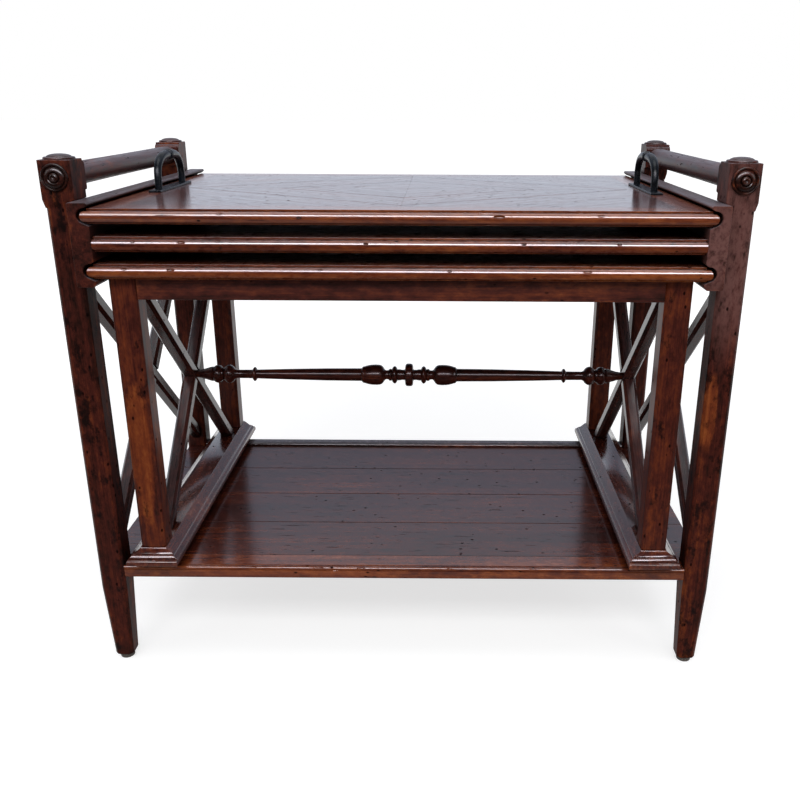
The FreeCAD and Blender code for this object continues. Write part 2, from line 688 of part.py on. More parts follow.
def leg_tenon(gap):
    size = LEG_TENON_SIZE + 2 * gap
    return box(around(-leg_x, size), around(-leg_y, size), (sled_top - LEG_TENON_LENGTH - gap, sled_top))


def front_left_leg():
    leg = chamfered_post(LEG_SIZE, LEG_CHAMFER, sled_top, inner_top_bottom)
    leg.translate(FreeCAD.Vector(-leg_x, -leg_y, 0))
    leg = leg.fuse(leg_tenon(0))
    for side in (True, False):
        leg = leg.cut(box(*grown(apron_tenon(side), FIT_GAP)))
    return leg


def left_sled():
    """The base under two legs, moulded at the ends, on a narrower plinth that stops at the shelf's rear rail."""
    sides = (SLED_SIDE_INSET, SLED_SIDE_ROWS)
    ends = (SLED_INSET, SLED_ROWS)
    sled = moulded_block(SLED_WIDTH / 2, sled_half_y, sled_bottom, SLED_HEIGHT, sides, ends)
    sled.translate(ALONG_X * -leg_x)
    plinth = box(around(-leg_x, SLED_WIDTH - 2 * PLINTH_INSET),
                 (-sled_half_y + PLINTH_FRONT_INSET, post_inner_y - STOP_GAP), (plinth_bottom, sled_bottom))
    sled = sled.fuse(plinth).removeSplitter()
    mortise = leg_tenon(FIT_GAP)
    return sled.cut(mortise).cut(mirrored(mortise, ALONG_Y))


def turned_stretcher():
    """The turned bar between the two crossings: beaded ends, tapered shafts and a centre knop."""
    half = leg_x - BRACE_SIZE / 2
    radius = STRETCHER_CENTRE_DIAMETER / 2
    points = [(-x * half, r * radius) for x, r in STRETCHER_HALF_SHARES]
    far_points = [(-x, r) for x, r in reversed(points)]
    steps = [[point] for point in points]
    steps.append([(0, radius), far_points[0]])
    steps += [[point] for point in far_points[1:]]
    steps.append([(half, 0)])
    bar = turned((-half, 0), steps, in_xz, ALONG_X, taper)
    start = FreeCAD.Vector(-half - STRETCHER_TENON, 0, 0)
    tenons = Part.makeCylinder(STRETCHER_TENON_DIAMETER / 2, 2 * (half + STRETCHER_TENON), start, ALONG_X)
    bar = bar.fuse(tenons).removeSplitter()
    bar.translate(ALONG_Z * inner_crossing_z)
    return bar


def pair(nodes, name, left):
    """Store a left piece and its mirror image on the right."""
    nodes[name.format("left")] = left
    nodes[name.format("right")] = mirrored(left, ALONG_X)


def stand_nodes():
    front_rail_front = -STAND_DEPTH / 2 + SHELF_FRONT_SETBACK
    rear_rail_back = STAND_DEPTH / 2 - SHELF_REAR_SETBACK
    nodes = {}
    pair(nodes, "post_front_{}", left_post((front_rail_front - post_inner_y) / 2))
    pair(nodes, "post_rear_{}", mirrored(left_post(-(post_inner_y + rear_rail_back) / 2), ALONG_Y))
    nodes["post_caps"] = post_caps()
    nodes["post_rosettes"] = post_rosettes()
    nodes["foot_glides"] = foot_glides()
    pair(nodes, "hand_rail_{}", left_hand_rail())
    pair(nodes, "grooved_rail_{}", mirrored(right_grooved_rail(), ALONG_X))
    nodes["middle_board"] = middle_board()
    rising, falling = left_outer_braces()
    pair(nodes, "outer_brace_{}_rising", rising)
    pair(nodes, "outer_brace_{}_falling", falling)
    nodes["shelf_front_rail"] = shelf_rail(front_rail_front, -post_inner_y, SHELF_TOP)
    nodes["shelf_rear_rail"] = shelf_rail(post_inner_y, rear_rail_back, SHELF_TOP + SHELF_REAR_LIP)
    for index in range(SHELF_PLANKS):
        nodes["shelf_plank_%d" % (index + 1)] = shelf_plank(index)
    pair(nodes, "shelf_bearer_{}", left_shelf_bearer())
    return nodes


def tray_nodes():
    nodes = {}
    slab = moulded_board(sliding_half_x, tray_bottom)
    front = mitred_border(slab, True)
    nodes["tray_border_front"] = front
    nodes["tray_border_rear"] = mirrored(front, ALONG_Y)
    pair(nodes, "tray_border_{}", bored_for_handle(mitred_border(slab, False)))
    rear_panel = rear_right_panel()
    pair(nodes, "tray_panel_rear_{}", mirrored(rear_panel, ALONG_X))
    pair(nodes, "tray_panel_front_{}", mirrored(mirrored(rear_panel, ALONG_X), ALONG_Y))
    pair(nodes, "handle_plate_{}", left_handle_plate())
    pair(nodes, "handle_{}", left_handle())
    return nodes


def inner_table_nodes():
    nodes = {"inner_top": moulded_board(sliding_half_x, inner_top_bottom)}
    front = front_apron()
    nodes["inner_apron_front"] = front
    nodes["inner_apron_rear"] = mirrored(front, ALONG_Y)
    pair(nodes, "inner_apron_{}", left_apron())
    leg = front_left_leg()
    pair(nodes, "inner_leg_front_{}", leg)
    pair(nodes, "inner_leg_rear_{}", mirrored(leg, ALONG_Y))
    rising, falling = left_inner_braces()
    pair(nodes, "inner_brace_{}_rising", rising)
    pair(nodes, "inner_brace_{}_falling", falling)
    nodes["turned_stretcher"] = turned_stretcher()
    pair(nodes, "sled_{}", left_sled())
    return nodes


def main():
    os.makedirs("parts", exist_ok=True)
    for nodes in (stand_nodes(), tray_nodes(), inner_table_nodes()):
        for name, shape in nodes.items():
            shape.exportStep("parts/%s.step" % name)


main()
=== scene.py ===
import json
import math
from collections import namedtuple

import bpy
from mathutils import Matrix, Vector


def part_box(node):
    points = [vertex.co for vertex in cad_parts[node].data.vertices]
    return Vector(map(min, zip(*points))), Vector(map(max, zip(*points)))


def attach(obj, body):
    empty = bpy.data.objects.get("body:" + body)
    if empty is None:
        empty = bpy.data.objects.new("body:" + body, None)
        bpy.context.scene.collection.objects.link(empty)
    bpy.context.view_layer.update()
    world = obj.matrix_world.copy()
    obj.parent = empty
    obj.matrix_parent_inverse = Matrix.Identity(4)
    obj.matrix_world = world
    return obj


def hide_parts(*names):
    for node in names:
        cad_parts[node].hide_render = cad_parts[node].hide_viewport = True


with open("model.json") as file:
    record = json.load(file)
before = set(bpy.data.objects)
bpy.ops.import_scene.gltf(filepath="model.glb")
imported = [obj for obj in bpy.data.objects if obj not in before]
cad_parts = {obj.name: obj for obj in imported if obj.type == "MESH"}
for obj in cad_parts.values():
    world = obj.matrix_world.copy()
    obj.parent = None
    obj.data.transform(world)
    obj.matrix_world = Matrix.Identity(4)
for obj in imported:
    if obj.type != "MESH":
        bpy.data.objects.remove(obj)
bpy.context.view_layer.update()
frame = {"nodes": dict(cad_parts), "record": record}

MM = 0.001
QUARTER_TURN = math.pi / 2

# Colours, linear
NEAR_BLACK_STAIN = (0.0040, 0.0021, 0.0019, 1.0)
DARK_STAIN = (0.018, 0.0056, 0.0038, 1.0)
RED_BROWN = (0.059, 0.0120, 0.0078, 1.0)
ORANGE_BROWN = (0.142, 0.0300, 0.0100, 1.0)
BARE_WOOD = (0.29, 0.076, 0.019, 1.0)
# Painted haze: the grey of light reflected from the front right, laid on dark wood
PAINTED_HAZE_GREY = (0.150, 0.066, 0.058, 1.0)
# Painted sheen: a lilac grey standing in for the sky's reflection on faces that look up
PAINTED_SHEEN_GREY = (0.120, 0.102, 0.116, 1.0)
# Painted shade in corners, gaps and recesses, also used for dirt in seams
SHADE_AND_DIRT_BLACK = (0.0015, 0.0012, 0.0013, 1.0)
IRON_DARK = (0.0014, 0.0018, 0.0027, 1.0)
IRON_GREY = (0.0046, 0.0076, 0.0122, 1.0)
IRON_RUST = (0.030, 0.012, 0.007, 1.0)
GLIDE_BROWN = (0.030, 0.022, 0.016, 1.0)
GLIDE_WORN = (0.12, 0.10, 0.085, 1.0)

# Node helpers


def add_node(tree, kind, inputs=None, **settings):
    """Add a node, set its options, and give its sockets values or links."""
    made = tree.nodes.new(kind)
    for option, value in settings.items():
        setattr(made, option, value)
    for socket, value in (inputs or {}).items():
        if isinstance(value, bpy.types.NodeSocket):
            tree.links.new(value, made.inputs[socket])
        else:
            made.inputs[socket].default_value = value
    return made


def math_node(tree, operation, first, second=0.0, third=0.0):
    """One sum, named as the Math node names it."""
    return add_node(tree, "ShaderNodeMath", {0: first, 1: second, 2: third}, operation=operation).outputs[0]


def add_scaled(tree, base, value, factor):
    """The base plus a share of another value."""
    return math_node(tree, "MULTIPLY_ADD", value, factor, base)


def times(tree, first, second):
    """The product of two values."""
    return math_node(tree, "MULTIPLY", first, second)


def rest_of(tree, share):
    """What a share leaves of one."""
    return math_node(tree, "SUBTRACT", 1.0, share)


def stretch(tree, vector, scale):
    """Scale coordinates, so that a texture is drawn out along the grain."""
    return add_node(tree, "ShaderNodeVectorMath", {0: vector, 1: scale}, operation="MULTIPLY").outputs[0]


def noise(tree, vector, scale, detail=3.0, roughness=0.55, distortion=0.0):
    """Cloudy noise from nought to one."""
    return add_node(tree, "ShaderNodeTexNoise", {
        "Vector": vector, "Scale": scale, "Detail": detail, "Roughness": roughness,
        "Distortion": distortion}).outputs["Fac"]


def between(tree, value, low, high):
    """Nought below low, one above high, and a smooth step between."""
    return add_node(tree, "ShaderNodeMapRange", {
        "Value": value, "From Min": low, "From Max": high, "To Min": 0.0, "To Max": 1.0},
        interpolation_type="SMOOTHSTEP").outputs["Result"]


def colour_ramp(tree, value, stops):
    """A colour picked by a value from a row of stops."""
    ramp = add_node(tree, "ShaderNodeValToRGB", {"Fac": value})
    elements = ramp.color_ramp.elements
    while len(elements) < len(stops):
        elements.new(0.5)
    for element, (place, colour) in zip(elements, stops):
        element.position = place
        element.color = colour
    return ramp.outputs["Color"]


def blend(tree, share, first, second):
    """A colour between two; the Mix node's colour sockets go by number, since names are shared."""
    return add_node(tree, "ShaderNodeMix", {0: share, 6: first, 7: second}, data_type="RGBA").outputs[2]


def new_material(name):
    """An empty material and its node tree."""
    made = bpy.data.materials.new(name)
    made.use_nodes = True
    made.node_tree.nodes.clear()
    return made, made.node_tree


def finish_material(tree, colour, roughness, normal, specular, wax=None):
    """Close a material with its surface, under a coat of wax where there is one."""
    shader = add_node(tree, "ShaderNodeBsdfPrincipled", {
        "Base Color": colour, "Roughness": roughness, "Normal": normal, "Specular IOR Level": specular,
        **(wax or {})})
    add_node(tree, "ShaderNodeOutputMaterial", {"Surface": shader.outputs[0]})


# Waxed and worn wood

Finish = namedtuple(
    "Finish", "wear depth smudges nicks splits rough specular wax film seams relief", defaults=(0.0, 1.0))
Timber = namedtuple("Timber", "place grain streaks fibres clouds mottle upward")

# How often each pattern repeats in a metre: along the grain, and twice across it
STREAK_SCALE = (2.6, 70.0, 70.0)
FIBRE_SCALE = (16.0, 560.0, 560.0)
CLOUD_SCALE = (5.0, 14.0, 14.0)
MOTTLE_SCALE = (60.0, 140.0, 140.0)
SMUDGE_SCALE = (34.0, 56.0, 56.0)
NICK_SCALE = (60.0, 100.0, 100.0)
SPLIT_SCALE = (28.0, 560.0, 560.0)

# How far wear reaches from edges, painted shade from corners and recesses, and dirt from seams, and how deep
# the grain is, in millimetres
EDGE_REACH = 4.0
PAINTED_SHADE_REACH = 40.0
SEAM_REACH = 2.5
GRAIN_DEPTH = 0.4

# How much each layer covers what is under it
RUBBED_SHARE = 0.92
PAINTED_HAZE_SHARE = 0.92
SMUDGE_SHARE = 0.85
MARK_SHARE = 0.93
SHADE_AND_DIRT_SHARE = 0.92

WAXED_BUMP = 0.18
DRY_BUMP = 0.35
WAX_RIPPLE = 0.06
WAX_ROUGHNESS = 0.14
WAX_INDEX = 1.6
# How much the painted sheen takes off the wax coat
PAINTED_SHEEN_DULLING = 1.3
NEAR_SAMPLES = 2

STAIN_TONES = [
    (0.26, NEAR_BLACK_STAIN), (0.41, DARK_STAIN), (0.55, RED_BROWN), (0.70, ORANGE_BROWN), (0.86, BARE_WOOD)]
BARE_TONES = [(0.34, RED_BROWN), (0.48, ORANGE_BROWN), (0.66, BARE_WOOD)]


def near_place(tree, place, spot):
    """One at the middle of a spot, falling to nought at its reach."""
    middle, reach = spot
    offset = add_node(tree, "ShaderNodeVectorMath", {0: place, 1: middle}, operation="SUBTRACT").outputs[0]
    share = stretch(tree, offset, tuple(1.0 / length for length in reach))
    distance = add_node(tree, "ShaderNodeVectorMath", {0: share}, operation="LENGTH").outputs["Value"]
    return rest_of(tree, between(tree, distance, 0.25, 1.0))


def shut_in(tree, reach, **settings):
    """How shut in a place is by what lies within a reach, in millimetres."""
    open_share = add_node(tree, "ShaderNodeAmbientOcclusion", {"Distance": reach * MM}, samples=NEAR_SAMPLES,
                          **settings).outputs["AO"]
    return rest_of(tree, open_share)


def timber_patterns(tree, turn, shift):
    """The patterns that the layers of a finish share, turned along the grain of the piece."""
    place = add_node(tree, "ShaderNodeTexCoord").outputs["Object"]
    grain = add_node(tree, "ShaderNodeMapping", {
        "Vector": place, "Rotation": turn, "Location": (shift, shift * 0.37, shift * 0.71)}).outputs[0]
    facing = add_node(tree, "ShaderNodeTexCoord").outputs["Normal"]
    return Timber(
        place=place,
        grain=grain,
        streaks=noise(tree, stretch(tree, grain, STREAK_SCALE), 1.0, 6.0, 0.62, 0.35),
        fibres=noise(tree, stretch(tree, grain, FIBRE_SCALE), 1.0, 3.0, 0.6),
        clouds=noise(tree, stretch(tree, grain, CLOUD_SCALE), 1.0, 3.0, 0.55),
        mottle=noise(tree, stretch(tree, grain, MOTTLE_SCALE), 1.0, 4.0, 0.68),
        upward=add_node(tree, "ShaderNodeSeparateXYZ", {0: facing}).outputs["Z"])


def stained(tree, timber, finish):
    """The dark stain, streaked along the grain."""
    tone = math_node(tree, "MULTIPLY_ADD", timber.streaks, 0.46, finish.depth - 0.60)
    tone = add_scaled(tree, tone, timber.mottle, 0.44)
    tone = add_scaled(tree, tone, timber.clouds, 0.30)
    tone = add_scaled(tree, tone, timber.fibres, 0.24)
    return colour_ramp(tree, math_node(tree, "SUBTRACT", tone, 0.12), STAIN_TONES)


def rubbed_back(tree, timber, finish, spot, colour):
    """Wood rubbed back to orange in clouds, along edges and at a place of use."""
    edge = between(tree, shut_in(tree, EDGE_REACH, inside=True, only_local=True), 0.15, 0.65)
    rub = math_node(tree, "MULTIPLY_ADD", timber.clouds, 1.5, finish.wear - 1.22)
    rub = add_scaled(tree, rub, edge, 0.22)
    if spot:
        rub = add_scaled(tree, rub, near_place(tree, timber.place, spot), 0.80)
    rub = between(tree, add_scaled(tree, rub, timber.mottle, 0.45), 0.30, 0.62)
    tone = add_scaled(tree, times(tree, timber.streaks, 0.6), timber.mottle, 0.4)
    bare = colour_ramp(tree, tone, BARE_TONES)
    return blend(tree, times(tree, rub, RUBBED_SHARE), colour, bare)


def painted_grey_sheen(tree, timber):
    """Where a painted grey sheen lies, standing in for the sky's reflection: in streaks, on faces that look
    up.
    """
    film = times(tree, between(tree, timber.streaks, 0.34, 0.54), 0.5)
    film = add_scaled(tree, film, between(tree, timber.fibres, 0.42, 0.56), 0.5)
    return times(tree, film, between(tree, timber.upward, 0.25, 0.90))


def dark_smudges(tree, timber, finish):
    """Where dark stain has been left thick, in blots."""
    smudge = noise(tree, stretch(tree, timber.grain, SMUDGE_SCALE), 1.0, 5.0, 0.72)
    return between(tree, smudge, 0.66 - 0.14 * finish.smudges, 0.80 - 0.14 * finish.smudges)


def nicks_and_splits(tree, timber, finish):
    """Small round holes, some of the cells of a loose pattern, and short splits along the grain."""
    cells = add_node(tree, "ShaderNodeTexVoronoi", {
        "Vector": stretch(tree, timber.grain, NICK_SCALE), "Scale": 1.0, "Randomness": 1.0})
    chosen = add_node(tree, "ShaderNodeSeparateColor", {"Color": cells.outputs["Color"]}).outputs[0]
    chosen = between(tree, chosen, 0.97 - 0.3 * finish.nicks, 0.98 - 0.3 * finish.nicks)
    spot = times(tree, rest_of(tree, between(tree, cells.outputs["Distance"], 0.09, 0.2)), chosen)
    dashes = noise(tree, stretch(tree, timber.grain, SPLIT_SCALE), 1.0, 2.0, 0.5)
    dashes = between(tree, dashes, 0.80 - 0.09 * finish.splits, 0.84 - 0.09 * finish.splits)
    return math_node(tree, "MAXIMUM", spot, dashes)


def painted_shade_and_seam_dirt(tree, finish):
    """Painted shade in corners, gaps and recesses, and, where boards meet, dirt in the seams."""
    shade_and_dirt = between(tree, shut_in(tree, PAINTED_SHADE_REACH), 0.60, 0.96)
    if finish.seams:
        seam = between(tree, shut_in(tree, SEAM_REACH), 0.12, 0.5)
        shade_and_dirt = math_node(tree, "MAXIMUM", shade_and_dirt, times(tree, seam, finish.seams))
    return shade_and_dirt


def waxed_wood(name, turn, shift, finish, rubbed_spot=None, haze_spot=None):
    """Dark stained wood with a wax shine: streaked along the grain, smudged dark, rubbed back to orange."""
    material, tree = new_material(name)
    timber = timber_patterns(tree, turn, shift)
    colour = rubbed_back(tree, timber, finish, rubbed_spot, stained(tree, timber, finish))
    smudge = dark_smudges(tree, timber, finish)
    # A painted haze of reflected light: the colour turns grey and the dark smudges give way
    if haze_spot:
        painted_haze = times(tree, near_place(tree, timber.place, haze_spot), PAINTED_HAZE_SHARE)
        painted_haze = times(tree, painted_haze, between(tree, timber.mottle, 0.18, 0.60))
        colour = blend(tree, painted_haze, colour, PAINTED_HAZE_GREY)
        smudge = times(tree, smudge, rest_of(tree, painted_haze))
    mark = nicks_and_splits(tree, timber, finish)
    # Painted shade within 40 mm of other surfaces, in corners, gaps and recesses, with dirt in the seams; the
    # shine and wax are taken off there too
    shade_and_dirt = painted_shade_and_seam_dirt(tree, finish)
    free_of_shade_and_marks = rest_of(tree, math_node(tree, "MAXIMUM", shade_and_dirt, mark))
    # A painted grey sheen on faces that look up, standing in for the sky's reflection; it takes off some of
    # the wax
    if finish.film:
        film = painted_grey_sheen(tree, timber)
        colour = blend(tree, times(tree, film, finish.film), colour, PAINTED_SHEEN_GREY)
        if finish.wax:
            free_of_shade_and_marks = times(tree, free_of_shade_and_marks, rest_of(tree, times(tree, film, PAINTED_SHEEN_DULLING * finish.wax)))
    colour = blend(tree, times(tree, smudge, SMUDGE_SHARE), colour, NEAR_BLACK_STAIN)
    colour = blend(tree, times(tree, mark, MARK_SHARE), colour, NEAR_BLACK_STAIN)
    # Painted shade and seam dirt, near black
    colour = blend(tree, times(tree, shade_and_dirt, SHADE_AND_DIRT_SHARE), colour, SHADE_AND_DIRT_BLACK)

    height = times(tree, timber.fibres, 0.45)
    height = add_scaled(tree, height, timber.mottle, 0.16)
    height = add_scaled(tree, height, timber.streaks, 0.75)
    height = add_scaled(tree, height, mark, -1.2)
    bump = add_node(tree, "ShaderNodeBump", {
        "Strength": (WAXED_BUMP if finish.wax else DRY_BUMP) * finish.relief, "Distance": GRAIN_DEPTH * MM,
        "Height": height}).outputs[0]
    rough = math_node(tree, "MULTIPLY_ADD", timber.mottle, 0.16, finish.rough - 0.08)
    rough = add_scaled(tree, rough, mark, 0.3)
    rough = add_scaled(tree, rough, shade_and_dirt, 0.5)
    polished = between(tree, timber.upward, -0.15, 0.35)
    shine = math_node(tree, "MULTIPLY_ADD", polished, 0.6 * finish.specular, 0.4 * finish.specular)
    wax = None
    if finish.wax:
        waves = add_scaled(tree, add_scaled(tree, timber.streaks, timber.mottle, 0.3), mark, -3.0)
        ripple = add_node(tree, "ShaderNodeBump", {
            "Strength": WAX_RIPPLE * finish.relief, "Distance": GRAIN_DEPTH * MM, "Height": waves}).outputs[0]
        coat = times(tree, free_of_shade_and_marks, times(tree, polished, finish.wax))
        wax = {"Coat Weight": coat, "Coat Roughness": WAX_ROUGHNESS,
               "Coat IOR": WAX_INDEX, "Coat Normal": ripple}
    finish_material(tree, colour, rough, bump, times(tree, free_of_shade_and_marks, shine), wax)
    return material


# Iron and glides: how often a pattern repeats in a metre, how deep it is in millimetres, how it shines
HAMMER_SCALE = 160.0
BLOOM_SCALE = 55.0
PITTING_SCALE = 900.0
RUST_SCALE = 90.0
HAMMER_DEPTH = 0.5
IRON_SHINE = 0.14
SCUFF_SCALE = 350.0
SCUFF_DEPTH = 0.2
GLIDE_SHINE = 0.4


def black_iron(name):
    """Forged iron, blackened and rubbed, with a trace of rust."""
    material, tree = new_material(name)
    place = add_node(tree, "ShaderNodeTexCoord").outputs["Object"]
    hammer = noise(tree, place, HAMMER_SCALE, 3.0, 0.5)
    bloom = noise(tree, place, BLOOM_SCALE, 4.0, 0.6)
    pitting = noise(tree, place, PITTING_SCALE, 2.0, 0.6)
    colour = colour_ramp(tree, bloom, [(0.35, IRON_DARK), (0.62, IRON_GREY)])
    rust = between(tree, noise(tree, place, RUST_SCALE, 5.0, 0.7), 0.62, 0.74)
    colour = blend(tree, times(tree, rust, 0.35), colour, IRON_RUST)
    height = add_scaled(tree, hammer, pitting, 0.25)
    bump = add_node(tree, "ShaderNodeBump", {
        "Strength": 0.25, "Distance": HAMMER_DEPTH * MM, "Height": height}).outputs[0]
    rough = add_scaled(tree, 0.16, bloom, 0.22)
    finish_material(tree, colour, rough, bump, IRON_SHINE)
    return material


def glide_plastic(name):
    """Brown moulded glide, scuffed pale where it rubs on the floor."""
    material, tree = new_material(name)
    place = add_node(tree, "ShaderNodeTexCoord").outputs["Object"]
    scuff = noise(tree, place, SCUFF_SCALE, 4.0, 0.65)
    colour = colour_ramp(tree, scuff, [(0.42, GLIDE_BROWN), (0.68, GLIDE_WORN)])
    bump = add_node(tree, "ShaderNodeBump", {
        "Strength": 0.3, "Distance": SCUFF_DEPTH * MM, "Height": scuff}).outputs[0]
    rough = add_scaled(tree, 0.45, scuff, 0.25)
    finish_material(tree, colour, rough, bump, GLIDE_SHINE)
    return material


# Grain directions, as the turn that lays the grain along X
ALONG_X = (0.0, 0.0, 0.0)
ALONG_Y = (0.0, 0.0, -QUARTER_TURN)
ALONG_Z = (0.0, QUARTER_TURN, 0.0)


def slanted(node):
    """The turn for a brace that climbs or falls towards the rear, from its own box."""
    low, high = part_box(node)
    climb = math.atan2(high.z - low.z, high.y - low.y)
    if "falling" in node:
        climb = -climb
    return (-climb, 0.0, -QUARTER_TURN)


def diagonal(node):
    """The turn for a quarter panel of the tray, whose boards lie along the sides of a diamond."""
    low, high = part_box(node)
    lean = math.atan2(high.y - low.y, high.x - low.x)
    if (low.x < 0.0) == (low.y < 0.0):
        lean = -lean
    return (0.0, 0.0, -lean)


def grain_of(node):
    """The turn of the grain, by the way a piece runs."""
    if node.startswith(("post_front", "post_rear", "inner_leg")):
        return ALONG_Z
    if "brace" in node:
        return slanted(node)
    if node.startswith("tray_panel"):
        return diagonal(node)
    if node.startswith(("hand_rail", "grooved_rail", "sled", "shelf_bearer")):
        return ALONG_Y
    if node in ("tray_border_left", "tray_border_right", "inner_apron_left", "inner_apron_right"):
        return ALONG_Y
    return ALONG_X


# How each kind of piece is worn and polished, in the order of Finish: wear, depth of tone, smudges, nicks,
# splits, roughness, shine under the wax, wax, painted grey sheen, then dirt in seams and relief where they
# matter
FINISHES = {
    "post_front": Finish(0.45, 0.52, 1.15, 0.9, 0.5, 0.42, 0.08, 0.0, 0.8),
    "post_rear": Finish(0.40, 0.52, 0.55, 0.45, 0.3, 0.36, 0.15, 0.0, 0.8),
    "post_caps": Finish(0.38, 0.47, 0.3, 0.1, 0.2, 0.34, 0.25, 0.0, 0.6),
    "post_rosettes": Finish(0.34, 0.40, 0.3, 0.1, 0.1, 0.28, 0.25, 0.15, 0.0),
    "inner_leg_front": Finish(0.47, 0.59, 0.75, 0.9, 0.4, 0.34, 0.12, 0.0, 0.0),
    "inner_leg_rear": Finish(0.38, 0.57, 0.3, 0.3, 0.2, 0.32, 0.25, 0.0, 0.0),
    "inner_apron": Finish(0.40, 0.55, 0.35, 0.5, 0.4, 0.36, 0.35, 0.0, 0.0),
    "inner_top": Finish(0.62, 0.74, 0.40, 0.8, 0.6, 0.28, 0.25, 1.0, 0.0, 0.9),
    "middle_board": Finish(0.50, 0.68, 0.45, 0.8, 0.6, 0.28, 0.25, 1.0, 0.0, 0.9),
    "tray_border": Finish(0.62, 0.74, 0.35, 0.9, 1.0, 0.19, 0.50, 0.45, 0.35, 0.9, 1.6),
    "tray_panel": Finish(0.40, 0.57, 0.3, 0.9, 1.4, 0.18, 0.5, 0.4, 0.4, 0.9, 2.1),
    "shelf_plank": Finish(0.30, 0.55, 0.35, 0.7, 1.4, 0.20, 0.5, 0.2, 0.0, 0.9),
    "shelf_front": Finish(0.60, 0.62, 0.4, 0.8, 0.8, 0.26, 0.12, 0.8, 0.0, 0.9),
    "shelf_rear": Finish(0.40, 0.50, 0.3, 0.4, 0.5, 0.26, 0.5, 0.3, 0.9),
    "sled": Finish(0.40, 0.55, 0.35, 0.4, 0.5, 0.26, 0.25, 0.6, 0.0, 0.9),
    "hand_rail": Finish(0.36, 0.50, 0.4, 0.4, 1.4, 0.40, 0.40, 0.0, 1.0, 0.0, 2.0),
    "grooved_rail": Finish(0.45, 0.50, 0.5, 0.6, 0.6, 0.38, 0.15, 0.0, 1.0),
    "outer_brace": Finish(0.34, 0.48, 0.3, 0.3, 0.3, 0.24, 0.35, 0.5, 0.2),
    "inner_brace": Finish(0.34, 0.48, 0.3, 0.3, 0.3, 0.24, 0.40, 0.6, 0.2),
    "turned": Finish(0.36, 0.50, 0.2, 0.1, 0.2, 0.28, 0.14, 0.15, 0.0),
    "shelf_bearer": Finish(0.35, 0.46, 0.3, 0.3, 0.3, 0.4, 0.10, 0.0, 0.0),
}

# Places rubbed back to orange wood by use: middle and reach
RUBBED = {
    "inner_leg_front_left": ((-0.346, -0.2425, 0.33), (0.022, 0.05, 0.15)),
    "post_front_right": ((0.400, -0.2375, 0.395), (0.014, 0.05, 0.08)),
    "shelf_front_rail": ((-0.17, -0.236, 0.150), (0.20, 0.04, 0.05)),
}
# Places with a painted greyish haze, standing in for light reflected from the front right: middle and reach
PAINTED_HAZE_SPOTS = {
    "grooved_rail_right": ((0.380, -0.260, 0.61), (0.040, 0.03, 0.09)),
    "post_front_right": ((0.409, -0.2375, 0.60), (0.06, 0.06, 0.17)),
}


# Each piece is cut from its own stretch of the timber
TIMBER_START = 0.3
TIMBER_STEP = 1.7


def finish_for(node, index):
    """The material of one piece."""
    if node.startswith("handle"):
        return IRON
    if node == "foot_glides":
        return GLIDE
    for kind, finish in FINISHES.items():
        if node.startswith(kind):
            shift = TIMBER_STEP * index + TIMBER_START
            return waxed_wood(
                node + "_wood", grain_of(node), shift, finish, RUBBED.get(node), PAINTED_HAZE_SPOTS.get(node))
    raise ValueError(node)


IRON = black_iron("handle_iron")
GLIDE = glide_plastic("foot_glide")

# Edges eased by hand and wear, in millimetres, for the pieces that keep the solids' form
EASED_EDGES = {
    "post_front": 0.7, "post_rear": 0.7, "inner_leg": 0.8, "inner_apron": 0.8, "outer_brace": 0.6,
    "inner_brace": 0.6, "grooved_rail": 0.5, "tray_panel": 0.25, "shelf_plank": 0.25, "shelf_rear": 0.4,
    "shelf_bearer": 0.6, "foot_glides": 0.6,
}
BOARD_EASING = 0.35
SLED_EASING = 0.4
PLATE_EASING = 0.3
MERGE_DISTANCE = 0.00001
FLAT_ANGLE = math.radians(0.4)
EDGE_ANGLE = math.radians(28.0)
RIM_ANGLE = math.radians(12.0)


def only(piece):
    """Make one object the only selected one."""
    bpy.ops.object.select_all(action="DESELECT")
    piece.select_set(True)
    bpy.context.view_layer.objects.active = piece


def ease_edges(piece, width):
    """Round the sharp edges of a piece a little and leave it smooth."""
    only(piece)
    bpy.ops.object.shade_smooth()
    rounding = piece.modifiers.new("rounding", "BEVEL")
    rounding.width = width * MM
    rounding.segments = 2
    rounding.limit_method = "ANGLE"
    rounding.angle_limit = EDGE_ANGLE
    rounding.use_clamp_overlap = False
    bpy.ops.object.modifier_apply(modifier=rounding.name)
    bpy.ops.object.shade_smooth_by_angle(angle=EDGE_ANGLE)
    weighting = piece.modifiers.new("weighting", "WEIGHTED_NORMAL")
    weighting.keep_sharp = True
    bpy.ops.object.modifier_apply(modifier=weighting.name)


def eased_copy(node, width):
    """A piece with the solid's form, its loose triangles joined and its edges rounded."""
    source = frame["nodes"][node]
    piece = bpy.data.objects.new(node + "_eased", source.data.copy())
    bpy.context.scene.collection.objects.link(piece)
    only(piece)
    bpy.ops.object.mode_set(mode="EDIT")
    bpy.ops.mesh.select_all(action="SELECT")
    bpy.ops.mesh.remove_doubles(threshold=MERGE_DISTANCE)
    bpy.ops.mesh.normals_make_consistent(inside=False)
    bpy.ops.mesh.dissolve_limited(angle_limit=FLAT_ANGLE)
    bpy.ops.object.mode_set(mode="OBJECT")
    ease_edges(piece, width)
    return piece


def body_of_node(node):
    """The body that a node of the frame moves with."""
    for body, members in frame["record"]["behaviour"]["bodies"].items():
        if node in members:
            return body
    raise ValueError(node)


def put_on(piece, node):
    """The piece stands for a node of the frame: it rides with its body, and the node's own part is hidden."""
    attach(piece, body_of_node(node))
    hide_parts(node)


def wear(piece, material):
    """Give a piece its one material."""
    piece.data.materials.clear()
    piece.data.materials.append(material)


# Turned pieces, drawn as half outlines and spun

TURNING_STEPS = 40
SMOOTH_ANGLE = math.radians(35.0)


